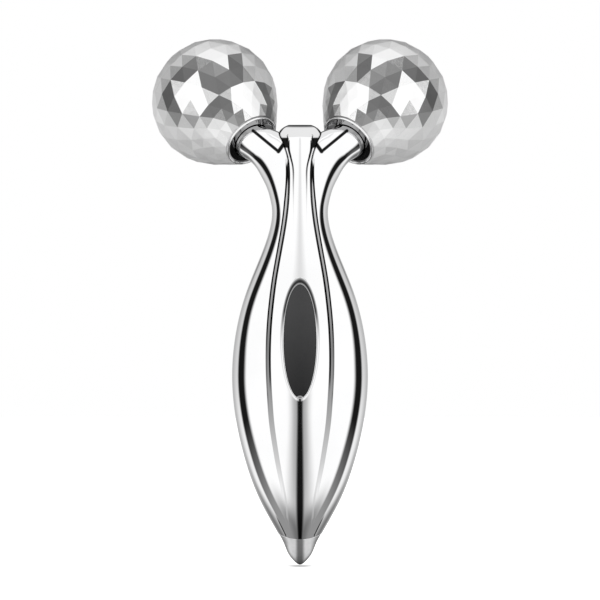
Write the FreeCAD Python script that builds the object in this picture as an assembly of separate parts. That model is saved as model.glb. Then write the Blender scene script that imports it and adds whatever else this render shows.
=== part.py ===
"""Massage roller: a Y-shaped grip that carries two faceted drop-shaped rolling balls.

The grip stands along +Z with its window towards -Y and its balls leaning back towards +Y.
It is drawn from the lowest point of its tail upwards, and each piece is then lowered so that the
origin is the middle of the grip at its widest section, where the hand holds it. Every left piece
is built once and mirrored to the right. Lengths are in millimetres.
"""
import FreeCAD
import Part
import math
import os

V = FreeCAD.Vector
ORIGIN = V(0, 0, 0)
X_AXIS = V(1, 0, 0)
Y_AXIS = V(0, 1, 0)
Z_AXIS = V(0, 0, 1)

# Grip body, measured from the lowest point of the tail cap
BODY_HEIGHT = 135.9
GRIP_HALF_WIDTH = 20.9
GRIP_FRONT_DEPTH = 12.6
GRIP_REAR_DEPTH = 13.8
SPINE_SWEEP = 15.2
SECTION_POINTS = 24

# Each row: height, half width, front depth, rear depth and set-back of one section, as shares of
# BODY_HEIGHT, GRIP_HALF_WIDTH, GRIP_FRONT_DEPTH, GRIP_REAR_DEPTH and SPINE_SWEEP
GRIP_STATION_SHARES = [
    (0.148, 0.589, 0.762, 0.725, 0.401),
    (0.239, 0.809, 0.905, 0.884, 0.178),
    (0.330, 0.943, 0.976, 0.971, 0.044),
    (0.420, 1.000, 1.000, 1.000, 0.000),
    (0.515, 0.957, 0.990, 0.978, 0.007),
    (0.624, 0.780, 0.905, 0.870, 0.039),
    (0.715, 0.546, 0.762, 0.717, 0.086),
    (0.806, 0.392, 0.690, 0.601, 0.171),
    (0.868, 0.350, 0.760, 0.522, 0.342),
    (0.927, 0.325, 0.780, 0.449, 0.612),
    (0.979, 0.306, 0.640, 0.348, 0.895),
    (1.000, 0.170, 0.340, 0.188, 1.000),
]
WIDEST_STATION = 3
CAVITY_STATIONS = 7
PARTING_STATIONS = 8

# Tail: the seam with the cap is square to the tail's own axis
TAIL_RADIUS = 7.2
TAIL_HEIGHT_SHARE = 0.0802
TAIL_HEIGHT = BODY_HEIGHT * TAIL_HEIGHT_SHARE
TAIL_SETBACK = 9.6
TAIL_LEAN = 22.6
CAP_LENGTH = 11.8
CAP_STEP = 0.3
CAP_PROFILE_SHARES = [(0.0, 1.0), (0.28, 0.86), (0.55, 0.71), (0.80, 0.51), (1.0, 0.0)]
CAP_TIP_ROUNDNESS_SHARE = 0.8
CAP_SPIGOT_RADIUS = 4.0
CAP_SPIGOT_LENGTH = 6.0

# Walls and the pocket for the centre trim
COVER_THICKNESS = 1.6
COVER_PROUD = 0.4
COVER_GAP = 0.7
FLOOR_THICKNESS = 1.6
COVER_HALF_WIDTH = 10.2

# Each row: height and half width of the trim's outline, as shares of BODY_HEIGHT and COVER_HALF_WIDTH
COVER_OUTLINE_SHARES = [
    (0.03, 0.38),
    (0.17, 0.50),
    (0.27, 0.68),
    (0.375, 0.94),
    (0.44, 1.00),
    (0.51, 0.97),
    (0.60, 0.865),
    (0.69, 0.68),
    (0.78, 0.475),
    (0.87, 0.377),
    (0.94, 0.377),
    (1.04, 0.43),
]

# Window: an oval bezel and lens set into the trim
WINDOW_HEIGHT_SHARE = 0.512
WINDOW_HEIGHT = BODY_HEIGHT * WINDOW_HEIGHT_SHARE
BEZEL_LENGTH = 38.3
BEZEL_WIDTH = 12.3
BEZEL_RIM = 1.4
BEZEL_SINK = 0.3
LENS_SINK = 0.5
LENS_THICKNESS = 0.7
LENS_NOTCH_RADIUS = 1.3
GASKET_RIM = 1.3
PART_CLEARANCE = 0.06

# Solar cell and circuit board behind the window
BOARD_FRONT = -6.0
BOARD_WIDTH = 12.0
BOARD_LENGTH_SHARE = 0.243
BOARD_LENGTH = BODY_HEIGHT * BOARD_LENGTH_SHARE
BOARD_BOTTOM_SHARE = 0.375
BOARD_BOTTOM = BODY_HEIGHT * BOARD_BOTTOM_SHARE
BOARD_THICKNESS = 1.2
CELL_WIDTH = 9.0
CELL_LENGTH_SHARE = 0.191
CELL_LENGTH = BODY_HEIGHT * CELL_LENGTH_SHARE
CELL_THICKNESS = 0.8
POST_RADIUS = 1.5
POST_PIN_RADIUS = 0.7
POST_PIN_REACH = 0.8
POST_EDGE = 1.7
CHIP_SIDE = 5.0
CHIP_HEIGHT = 1.2
CAPACITOR_RADIUS = 1.8
CAPACITOR_LENGTH = 5.0
RESISTOR_LENGTH = 2.2
RESISTOR_WIDTH = 1.2
RESISTOR_HEIGHT = 0.6
TERMINAL_SIDE = 2.4
TERMINAL_HEIGHT = 2.0
TERMINAL_SPREAD = 1.9
TERMINAL_DROP = 3.4
RESISTOR_SPREAD = 4.2

# Rollers: drop-shaped balls on leaning axles
BALL_RADIUS = 19.5
BALL_RISE = 7.2
BALL_HEIGHT = BODY_HEIGHT + BALL_RISE
BALL_SPREAD = 26.4
BALL_SETBACK = 26.1
AXLE_SPREAD_ANGLE = 43.1
AXLE_LEAN_ANGLE = 36.9
MOUTH_DISTANCE_SHARE = 1.087
MOUTH_DISTANCE = BALL_RADIUS * MOUTH_DISTANCE_SHARE
MOUTH_RADIUS = 8.85
BALL_WALL = 2.2

# Facets: rows of corners from the mouth to the far pole
FACETS_ROUND = 22
CONE_ROWS = 3
SPHERE_ROWS = 8
POLE_ROW_COUNT_SHARES = [0.73, 0.5, 0.27]

# Mouth ring with its dished recess
RING_FLANGE = 0.7
RING_RIM = 0.85
RING_TUBE_LENGTH = 5.0
RING_TUBE_RADIUS = 8.4
RING_HOLE_RADIUS = 6.1
RING_LIP = 0.9
DISH_WIDTH_SHARE = 0.33
DISH_DEPTH_SHARE = 0.5

# Roller core, bushes and axle
CORE_RADIUS = 6.5
CORE_FLANGE = 2.0
CORE_END_SPACE = 5.6
CORE_END = BALL_RADIUS - CORE_END_SPACE
CORE_FLOOR = 1.9
CORE_BORE_END = CORE_END - CORE_FLOOR
BOSS_WALL = 1.8
BOSS_REACH = 2.9
BOSS_START = CORE_END - BOSS_REACH
BUSH_RADIUS = 3.9
INNER_BUSH_LENGTH = 10.5
OUTER_BUSH_LENGTH = 8.0
AXLE_RADIUS = 2.5
AXLE_EMBED = 13.0
AXLE_END_SPACE = 1.0
AXLE_END = CORE_BORE_END - AXLE_END_SPACE
RUNNING_CLEARANCE = 0.05
END_PLAY = 0.1
WASHER_RADIUS = 4.4
WASHER_THICKNESS = 0.8
CLIP_END_SPACE = 1.8
CLIP_GROOVE_START = AXLE_END - CLIP_END_SPACE
CLIP_THICKNESS = 0.6
CLIP_GROOVE_DEPTH = 0.5
CLIP_RIM = 1.5
CLIP_MOUTH = 2.6

# Arms: limbs that flow out of the neck and end round inside the roller mouths
ARM_RADIUS = 5.6
ARM_NECK_RADIUS = 5.2
ARM_END_RADIUS = 5.0
ARM_END_DEPTH = 4.2
ARM_DROP = 36.1
ARM_PARTING_ROWS = 3

# Each row: drop below the ball's centre, offset, set-back, half width, half depth, spread and lean of one
# section, as shares of ARM_DROP, BALL_SPREAD, BALL_SETBACK, ARM_RADIUS twice and the two axle angles
ARM_STATION_SHARES = [
    (1.000, 0.045, 0.077, 1.12, 1.16, 0.00, 0.19),
    (0.900, 0.057, 0.092, 1.28, 1.20, 0.20, 0.28),
    (0.785, 0.081, 0.130, 1.30, 1.16, 0.42, 0.41),
    (0.643, 0.127, 0.195, 1.38, 1.10, 0.64, 0.60),
    (0.521, 0.212, 0.287, 1.38, 1.05, 0.86, 0.78),
    (0.440, 0.322, 0.360, 1.22, 1.00, 1.03, 0.92),
    (0.385, 0.439, 0.425, 1.07, 1.00, 1.10, 1.00),
]

# Lead wires and their channels
WIRE_RADIUS = 0.6
WIRE_CHANNEL_RADIUS = 1.0
WIRE_BEND_RADIUS = 6.0
WIRE_FIRST_RUN = 5.0
WIRE_FOOT_OFFSET = 2.6
WIRE_FOOT_SETBACK = 0.5
WIRE_FOOT_LENGTH = 20.0
WIRE_REACH = 21.0

# Screws under the trim
SCREW_HEIGHT_SHARES = [0.221, 0.765]
SCREW_RADIUS = 1.0
SCREW_LENGTH = 12.0
SCREW_HEAD_RADIUS = 1.9
SCREW_HEAD_HEIGHT = 1.2
SCREW_HEAD_SINK = 1.1
SCREW_SLOT_WIDTH = 0.5
SCREW_SLOT_DEPTH = 0.5
BOSS_RADIUS = 2.8

# Long enough to pass through the whole object
FAR = 2 * BODY_HEIGHT


def export(name, shape):
    """Lower one named piece to the hand's height and write it."""
    hand_height = BODY_HEIGHT * GRIP_STATION_SHARES[WIDEST_STATION][0]
    shape = shape.translated(V(0, 0, -hand_height))
    shape.exportStep("parts/" + name + ".step")
    print(name, "solids", len(shape.Solids), "volume", round(shape.Volume, 1), "valid", shape.isValid())


def export_pair(name, left):
    """Write a left piece and its mirror image on the right."""
    export("left_" + name, left)
    export("right_" + name, left.mirror(ORIGIN, X_AXIS))


def both_sides(left):
    """Join a left piece with its mirror image."""
    return left.fuse(left.mirror(ORIGIN, X_AXIS))


def spline(points):
    """A smooth open edge through the points."""
    curve = Part.BSplineCurve()
    curve.interpolate(points)
    return curve.toShape()


def closed_spline(points):
    """A smooth closed wire through the points."""
    curve = Part.BSplineCurve()
    curve.interpolate(Points=points, PeriodicFlag=True)
    return Part.Wire(curve.toShape())


def spin(points):
    """Turn an outline of (radius, distance along the axis) corners round the Z axis."""
    corners = [V(radius, 0, along) for radius, along in points]
    face = Part.Face(Part.makePolygon(corners + corners[:1]))
    return face.revolve(ORIGIN, Z_AXIS, 360)


def tube(inner, outer, start, end):
    """A plain ring about the Z axis."""
    return spin([(inner, start), (outer, start), (outer, end), (inner, end)])


def rod(radius, start, end):
    """A plain cylinder between two points."""
    run = end - start
    return Part.makeCylinder(radius, run.Length, start, run)


def station_point(share_row):
    """Height and set-back of one section's middle."""
    return V(0, SPINE_SWEEP * share_row[4], BODY_HEIGHT * share_row[0])


def grip_section(share_row, inset, rise):
    """One section of the grip: an ellipse with unequal front and rear depth, drawn in by inset."""
    middle = station_point(share_row)
    half_width = GRIP_HALF_WIDTH * share_row[1] - inset
    front = GRIP_FRONT_DEPTH * share_row[2] - inset
    rear = GRIP_REAR_DEPTH * share_row[3] - inset
    points = []
    for step in range(SECTION_POINTS):
        angle = 2 * math.pi * step / SECTION_POINTS
        depth = rear if math.sin(angle) > 0 else front
        points.append(middle + V(half_width * math.cos(angle), depth * math.sin(angle), -rise))
    return closed_spline(points)


def tail_frame():
    """Middle of the tail's seam, and the tail's axis towards the tip."""
    lean = math.radians(TAIL_LEAN)
    return V(0, TAIL_SETBACK, TAIL_HEIGHT), V(0, math.sin(lean), -math.cos(lean))


def tail_section(inset):
    """The round section at the seam with the tail cap."""
    middle, axis = tail_frame()
    up = X_AXIS.cross(axis)
    radius = TAIL_RADIUS - inset
    points = []
    for step in range(SECTION_POINTS):
        angle = 2 * math.pi * step / SECTION_POINTS
        points.append(middle + X_AXIS * (radius * math.cos(angle)) - up * (radius * math.sin(angle)))
    return closed_spline(points)


def grip(inset):
    """The grip from the seam to the crotch, drawn in by inset on every side but the seam."""
    sections = [tail_section(inset)]
    for share_row in GRIP_STATION_SHARES[:-1]:
        sections.append(grip_section(share_row, inset, 0))
    sections.append(grip_section(GRIP_STATION_SHARES[-1], inset, inset))
    return Part.makeLoft(sections, True)


def grip_cavity(inset):
    """The hollow inside the grip."""
    rows = GRIP_STATION_SHARES[:CAVITY_STATIONS]
    return Part.makeLoft([grip_section(row, inset, 0) for row in rows], True)


def front_at(solid, x, height):
    """The front-most depth of a solid on a line along Y."""
    line = Part.makeLine(V(x, -FAR, height), V(x, FAR, height))
    return solid.common(line).BoundBox.YMin


def leaning_axis(spread_angle, lean_angle):
    """A direction that starts upwards, spreads to the left and leans back."""
    spread = math.radians(spread_angle)
    lean = math.radians(lean_angle)
    return V(-math.cos(lean) * math.sin(spread), math.sin(lean), math.cos(lean) * math.cos(spread))


def left_axis():
    """The left roller's axle direction, from the mouth to the ball."""
    return leaning_axis(AXLE_SPREAD_ANGLE, AXLE_LEAN_ANGLE)


def ball_centre():
    """Centre of the left ball."""
    return V(-BALL_SPREAD, BALL_SETBACK, BALL_HEIGHT)


def on_axle(along):
    """A point on the left axle, by its distance past the ball's centre."""
    return ball_centre() + left_axis() * along


def set_on_axle(shape):
    """Move a piece made about the Z axis to the left axle, with its zero at the ball's centre."""
    shape.Placement = FreeCAD.Placement(ball_centre(), FreeCAD.Rotation(Z_AXIS, left_axis()))
    return shape


def rounded_path(points, radius):
    """A wire of straight runs joined by tangent arcs."""
    edges = []
    start = points[0]
    for before, corner, after in zip(points, points[1:], points[2:]):
        back = (before - corner).normalize()
        ahead = (after - corner).normalize()
        half_turn = (math.pi - back.getAngle(ahead)) / 2
        leg = radius * math.tan(half_turn)
        middle = (back + ahead).normalize() * (radius / math.cos(half_turn) - radius)
        arc_start = corner + back * leg
        arc_end = corner + ahead * leg
        edges.append(Part.makeLine(start, arc_start))
        edges.append(Part.Arc(arc_start, corner + middle, arc_end).toShape())
        start = arc_end
    edges.append(Part.makeLine(start, points[-1]))
    return Part.Wire(edges)


def pipe(points, bend_radius, radius):
    """A round bar along a path of straight runs and arcs."""
    path = rounded_path(points, bend_radius)
    section = Part.Wire(Part.makeCircle(radius, points[0], points[1] - points[0]))
    return path.makePipeShell([section], True, False)


def arm_section(middle, half_width, half_depth, spread_angle, lean_angle):
    """One elliptical section of the left arm, square to its own axis and starting at the rear."""
    spread = math.radians(spread_angle)
    outward = V(-math.cos(spread), 0, -math.sin(spread))
    backward = outward.cross(leaning_axis(spread_angle, lean_angle))
    points = []
    for step in range(SECTION_POINTS):
        angle = 2 * math.pi * step / SECTION_POINTS
        across = outward * (half_width * math.sin(angle))
        points.append(middle + across + backward * (half_depth * math.cos(angle)))
    return closed_spline(points)


def arm_middle(share_row):
    """The middle of one section of the left arm."""
    height = BALL_HEIGHT - ARM_DROP * share_row[0]
    return V(-BALL_SPREAD * share_row[1], BALL_SETBACK * share_row[2], height)


def left_arm():
    """The left arm with its tapered end inside the roller's mouth."""
    sections = []
    for row in ARM_STATION_SHARES:
        angles = (AXLE_SPREAD_ANGLE * row[5], AXLE_LEAN_ANGLE * row[6])
        sections.append(arm_section(arm_middle(row), ARM_RADIUS * row[3], ARM_RADIUS * row[4], *angles))
    angles = (AXLE_SPREAD_ANGLE, AXLE_LEAN_ANGLE)
    mouth = on_axle(-MOUTH_DISTANCE)
    sections.append(arm_section(mouth, ARM_RADIUS, ARM_RADIUS, *angles))
    end = Part.makeCone(ARM_NECK_RADIUS, ARM_END_RADIUS, ARM_END_DEPTH, mouth, left_axis())
    return Part.makeLoft(sections, True).fuse(end).removeSplitter()


def axle_foot():
    """The axle's end inside the arm, as a distance past the ball's centre."""
    return -MOUTH_DISTANCE + ARM_END_DEPTH - AXLE_EMBED


def wire_points():
    """The left lead from its terminal on the board to the axle's foot."""
    bend = on_axle(-MOUTH_DISTANCE - WIRE_REACH)
    foot = V(-WIRE_FOOT_OFFSET, WIRE_FOOT_SETBACK, bend.z - WIRE_FOOT_LENGTH)
    terminal_top = V(
        -TERMINAL_SPREAD,
        BOARD_FRONT + BOARD_THICKNESS + TERMINAL_HEIGHT / 2,
        BOARD_BOTTOM + BOARD_LENGTH - TERMINAL_DROP,
    )
    return [terminal_top, terminal_top + Z_AXIS * WIRE_FIRST_RUN, foot, bend, on_axle(axle_foot())]


def front_space():
    """Everything in front of the joint between the shells, which follows the spine and the arms."""
    seam, axis = tail_frame()
    line = [seam + axis * CAP_LENGTH, seam]
    line += [station_point(row) for row in GRIP_STATION_SHARES[:PARTING_STATIONS]]
    line += [arm_middle(row) for row in ARM_STATION_SHARES[ARM_PARTING_ROWS:]]
    line += [on_axle(-MOUTH_DISTANCE), on_axle(0)]
    curve = spline([V(0, point.y, point.z) for point in line])
    top = V(0, -FAR, line[-1].z)
    bottom = V(0, -FAR, line[0].z)
    edges = [
        curve,
        Part.makeLine(curve.Vertexes[-1].Point, top),
        Part.makeLine(top, bottom),
        Part.makeLine(bottom, curve.Vertexes[0].Point),
    ]
    face = Part.Face(Part.Wire(edges))
    face.translate(V(-FAR, 0, 0))
    return face.extrude(V(2 * FAR, 0, 0))


def cover_prism(grow):
    """A block through the body with the trim's outline, grown sideways."""
    right = []
    for height, width in COVER_OUTLINE_SHARES:
        right.append(V(COVER_HALF_WIDTH * width + grow, -FAR, BODY_HEIGHT * height))
    left = [V(-point.x, point.y, point.z) for point in reversed(right)]
    edges = [
        spline(right),
        Part.makeLine(right[-1], left[0]),
        spline(left),
        Part.makeLine(left[-1], right[0]),
    ]
    return Part.Face(Part.Wire(edges)).extrude(V(0, 2 * FAR, 0))


def oval_prism(length, width):
    """A block with the window's oval outline, from far in front to the middle of the grip."""
    ellipse = Part.Ellipse(ORIGIN, length / 2, width / 2)
    face = Part.Face(Part.Wire(ellipse.toShape()))
    turn = FreeCAD.Rotation(Z_AXIS, X_AXIS, Y_AXIS)
    face.Placement = FreeCAD.Placement(V(0, -FAR, WINDOW_HEIGHT), turn)
    return face.extrude(V(0, FAR, 0))


def notch(clearance):
    """The half-round key at the lower end of the lens."""
    bottom = WINDOW_HEIGHT - BEZEL_LENGTH / 2 + BEZEL_RIM
    return Part.makeCylinder(LENS_NOTCH_RADIUS + clearance, FAR, V(0, -FAR, bottom), Y_AXIS)


def layer(outer_inset, inner_inset):
    """The skin of the grip between two insets."""
    return grip(outer_inset).cut(grip(inner_inset))


def make_window():
    """Bezel, lens and gasket, as slices of the grip's curved skin."""
    opening = oval_prism(BEZEL_LENGTH - 2 * BEZEL_RIM, BEZEL_WIDTH - 2 * BEZEL_RIM)
    rim = oval_prism(BEZEL_LENGTH, BEZEL_WIDTH).cut(opening)
    bezel_front = BEZEL_SINK - COVER_PROUD
    lens_back = LENS_SINK + LENS_THICKNESS
    key = notch(0).common(opening).common(layer(bezel_front, lens_back))
    bezel = rim.common(layer(bezel_front, COVER_THICKNESS)).fuse(key)
    shrink = 2 * (BEZEL_RIM + PART_CLEARANCE)
    glass = oval_prism(BEZEL_LENGTH - shrink, BEZEL_WIDTH - shrink)
    lens = glass.cut(notch(PART_CLEARANCE)).common(layer(LENS_SINK, lens_back))
    light = oval_prism(BEZEL_LENGTH - shrink - 2 * GASKET_RIM, BEZEL_WIDTH - shrink - 2 * GASKET_RIM)
    gasket = glass.cut(light).common(layer(lens_back, COVER_THICKNESS))
    return bezel.removeSplitter(), lens, gasket, light


def post_places():
    """The four corners of the board, which sit on posts."""
    side = BOARD_WIDTH / 2 - POST_EDGE
    low = BOARD_BOTTOM + POST_EDGE
    high = BOARD_BOTTOM + BOARD_LENGTH - POST_EDGE
    return [(-side, low), (side, low), (-side, high), (side, high)]


def board_posts():
    """Posts inside the front shell that carry the board on heat-staked pins."""
    posts = []
    for x, height in post_places():
        post = rod(POST_RADIUS, V(x, -FAR, height), V(x, BOARD_FRONT, height))
        pin_end = BOARD_FRONT + BOARD_THICKNESS + POST_PIN_REACH
        pin = rod(POST_PIN_RADIUS, V(x, BOARD_FRONT, height), V(x, pin_end, height))
        posts.append(post.fuse(pin))
    return posts


def make_board():
    """The circuit board and the solar cell on its front."""
    board = Part.makeBox(BOARD_WIDTH, BOARD_THICKNESS, BOARD_LENGTH)
    board.translate(V(-BOARD_WIDTH / 2, BOARD_FRONT, BOARD_BOTTOM))
    for x, height in post_places():
        hole = Part.makeCylinder(POST_PIN_RADIUS + PART_CLEARANCE, FAR, V(x, -FAR / 2, height), Y_AXIS)
        board = board.cut(hole)
    cell = Part.makeBox(CELL_WIDTH, CELL_THICKNESS, CELL_LENGTH)
    cell_bottom = BOARD_BOTTOM + (BOARD_LENGTH - CELL_LENGTH) / 2
    cell.translate(V(-CELL_WIDTH / 2, BOARD_FRONT - CELL_THICKNESS, cell_bottom))
    return board, cell


def make_board_components():
    """The parts soldered on the rear of the board."""
    rear = BOARD_FRONT + BOARD_THICKNESS
    middle = BOARD_BOTTOM + BOARD_LENGTH / 2
    chip = Part.makeBox(CHIP_SIDE, CHIP_HEIGHT, CHIP_SIDE)
    chip.translate(V(-CHIP_SIDE / 2, rear, middle - CHIP_SIDE / 2))
    can_foot = V(0, rear, middle - CHIP_SIDE - CAPACITOR_RADIUS)
    capacitor = Part.makeCylinder(CAPACITOR_RADIUS, CAPACITOR_LENGTH, can_foot, Y_AXIS)
    pieces = [chip, capacitor]
    for side in (-1, 1):
        resistor = Part.makeBox(RESISTOR_WIDTH, RESISTOR_HEIGHT, RESISTOR_LENGTH)
        resistor.translate(V(side * RESISTOR_SPREAD - RESISTOR_WIDTH / 2, rear, middle))
        pieces.append(resistor)
        terminal = Part.makeBox(TERMINAL_SIDE, TERMINAL_HEIGHT, TERMINAL_SIDE)
        top = BOARD_BOTTOM + BOARD_LENGTH - TERMINAL_DROP
        terminal.translate(V(side * TERMINAL_SPREAD - TERMINAL_SIDE / 2, rear, top - TERMINAL_SIDE))
        pieces.append(terminal)
    return Part.makeCompound(pieces)


def make_screws(floor):
    """The screws, and the holes that they need in the front and rear shells."""
    screws = []
    head_holes = []
    shaft_holes = []
    bosses = []
    for share in SCREW_HEIGHT_SHARES:
        height = BODY_HEIGHT * share
        seat = front_at(floor, 0, height) + SCREW_HEAD_HEIGHT + SCREW_HEAD_SINK
        middle = V(0, seat, height)
        head = Part.makeCylinder(SCREW_HEAD_RADIUS, SCREW_HEAD_HEIGHT, middle, -Y_AXIS)
        slot = Part.makeBox(2 * SCREW_HEAD_RADIUS, SCREW_SLOT_DEPTH, SCREW_SLOT_WIDTH)
        slot_corner = V(-SCREW_HEAD_RADIUS, seat - SCREW_HEAD_HEIGHT, height - SCREW_SLOT_WIDTH / 2)
        slot.translate(slot_corner)
        shaft = Part.makeCylinder(SCREW_RADIUS, SCREW_LENGTH, middle, Y_AXIS)
        screws.append(head.cut(slot).fuse(shaft).removeSplitter())
        head_holes.append(Part.makeCylinder(SCREW_HEAD_RADIUS + PART_CLEARANCE, FAR, middle, -Y_AXIS))
        shaft_holes.append(shaft)
        bosses.append(Part.makeCylinder(BOSS_RADIUS, 2 * FAR, V(0, -FAR, height), Y_AXIS))
    return screws, head_holes, shaft_holes, bosses


def make_cap():
    """The pointed tail cap with the spigot that plugs into the shells."""
    middle, axis = tail_frame()
    radius = TAIL_RADIUS - CAP_STEP
    points = [V(radius * width, 0, CAP_LENGTH * along) for along, width in CAP_PROFILE_SHARES]
    side = Part.BSplineCurve()
    start_run = points[1] - points[0]
    tip_run = V(-CAP_TIP_ROUNDNESS_SHARE * radius, 0, 0)
    side.interpolate(Points=points, InitialTangent=start_run, FinalTangent=tip_run)
    edges = [side.toShape(), Part.makeLine(points[-1], ORIGIN), Part.makeLine(ORIGIN, points[0])]
    bullet = Part.Face(Part.Wire(edges)).revolve(ORIGIN, Z_AXIS, 360)
    spigot = Part.makeCylinder(CAP_SPIGOT_RADIUS, CAP_SPIGOT_LENGTH, ORIGIN, -Z_AXIS)
    cap = bullet.fuse(spigot).removeSplitter()
    cap.Placement = FreeCAD.Placement(middle, FreeCAD.Rotation(Z_AXIS, axis))
    return cap


def make_body():
    """Front shell, rear shell and centre trim, with the screws that join them."""
    middle, axis = tail_frame()
    wall = COVER_THICKNESS + FLOOR_THICKNESS
    floor = grip(COVER_THICKNESS)
    screws, head_holes, shaft_holes, bosses = make_screws(floor)
    cavity = grip_cavity(wall).cut(bosses + board_posts())
    body = grip(0).fuse(both_sides(left_arm())).removeSplitter()
    channel = pipe(wire_points(), WIRE_BEND_RADIUS, WIRE_CHANNEL_RADIUS)
    bore = rod(AXLE_RADIUS, on_axle(axle_foot()), on_axle(0))
    socket = rod(CAP_SPIGOT_RADIUS, middle, middle - axis * CAP_SPIGOT_LENGTH)
    body = body.cut([cavity, both_sides(channel), both_sides(bore), socket] + shaft_holes)

    front_side = front_space()
    rear = body.cut(front_side)
    front = body.common(front_side)
    bezel, lens, gasket, light = make_window()
    pocket = cover_prism(COVER_GAP).cut(floor)
    front = front.cut([pocket, light] + head_holes)
    cover = cover_prism(0).common(layer(-COVER_PROUD, COVER_THICKNESS)).common(front_side)
    cover = cover.cut(oval_prism(BEZEL_LENGTH + 2 * PART_CLEARANCE, BEZEL_WIDTH + 2 * PART_CLEARANCE))
    export("front_shell", front)
    export("rear_shell", rear)
    export("spine_cover", cover)
    export("window_bezel", bezel)
    export("window_lens", lens)
    export("window_gasket", gasket)
    export("shell_screws", Part.makeCompound(screws))
    export_pair("lead_wire", pipe(wire_points(), WIRE_BEND_RADIUS, WIRE_RADIUS))


def cone_share_point(share):
    """A point on the drop's cone, from the mouth flange (0) to the tangent circle (1)."""
    tangent_along, tangent_radius = tangent_circle()
    start_along = -MOUTH_DISTANCE + RING_FLANGE
    slope = (tangent_radius - MOUTH_RADIUS) / (tangent_along + MOUTH_DISTANCE)
    along = start_along + (tangent_along - start_along) * share
    return along, MOUTH_RADIUS + slope * (along + MOUTH_DISTANCE)


def tangent_circle():
    """Where the cone from the mouth's rim touches the ball, as distance along the axis and radius."""
    rim_distance = math.hypot(MOUTH_DISTANCE, MOUTH_RADIUS)
    angle = math.acos(BALL_RADIUS / rim_distance) + math.atan2(MOUTH_RADIUS, MOUTH_DISTANCE)
    return -BALL_RADIUS * math.cos(angle), BALL_RADIUS * math.sin(angle)


def facet_rows():
    """Rows of facet corners: equal rows up to the far cap, then fewer corners towards the pole."""
    rows = []
    for row in range(CONE_ROWS):
        rows.append(cone_share_point(row / CONE_ROWS) + (FACETS_ROUND,))
    tangent_along, tangent_radius = tangent_circle()
    first = math.atan2(tangent_radius, -tangent_along)
    for row in range(SPHERE_ROWS + 1):
        angle = first + (math.pi - first) * row / SPHERE_ROWS
        from_pole = SPHERE_ROWS - row
        count = FACETS_ROUND
        if from_pole == 0:
            count = 1
        elif from_pole <= len(POLE_ROW_COUNT_SHARES):
            count = round(FACETS_ROUND * POLE_ROW_COUNT_SHARES[-from_pole])
        rows.append((-BALL_RADIUS * math.cos(angle), BALL_RADIUS * math.sin(angle), count))
    return rows


def facet_corners():
    """The corners of every row, each row turned half a facet from the one before."""
    rings = []
    for index, (along, radius, count) in enumerate(facet_rows()):
        turn = math.pi * (index % 2) / count
        ring = []
        for step in range(count):
            angle = 2 * math.pi * step / count + turn
            ring.append((angle, V(radius * math.cos(angle), radius * math.sin(angle), along)))
        rings.append(ring)
    return rings


def zip_rings(lower, upper):
    """Triangles between two rings of corners, each time taking the next corner by angle."""
    triangles = []
    low = 0
    high = 0
    low_end = len(lower)
    high_end = len(upper) if len(upper) > 1 else 0
    while low < low_end or high < high_end:
        next_low = lower[(low + 1) % len(lower)][0] + 2 * math.pi * ((low + 1) // len(lower))
        next_high = upper[(high + 1) % len(upper)][0] + 2 * math.pi * ((high + 1) // len(upper))
        here_low = lower[low % len(lower)][1]
        here_high = upper[high % len(upper)][1]
        if high == high_end or (low < low_end and next_low <= next_high):
            low += 1
            triangles.append((here_low, lower[low % len(lower)][1], here_high))
        else:
            high += 1
            triangles.append((here_low, upper[high % len(upper)][1], here_high))
    return triangles


def faceted_drop():
    """The solid faceted drop, with flat triangles all round and a flat mouth."""
    rings = facet_corners()
    faces = []
    mouth = [corner for angle, corner in rings[0]]
    faces.append(Part.Face(Part.makePolygon(mouth + mouth[:1])))
    for lower, upper in zip(rings, rings[1:]):
        for a, b, c in zip_rings(lower, upper):
            faces.append(Part.Face(Part.makePolygon([a, b, c, a])))
    solid = Part.makeSolid(Part.makeShell(faces))
    if solid.Volume < 0:
        solid.reverse()
    return solid


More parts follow.
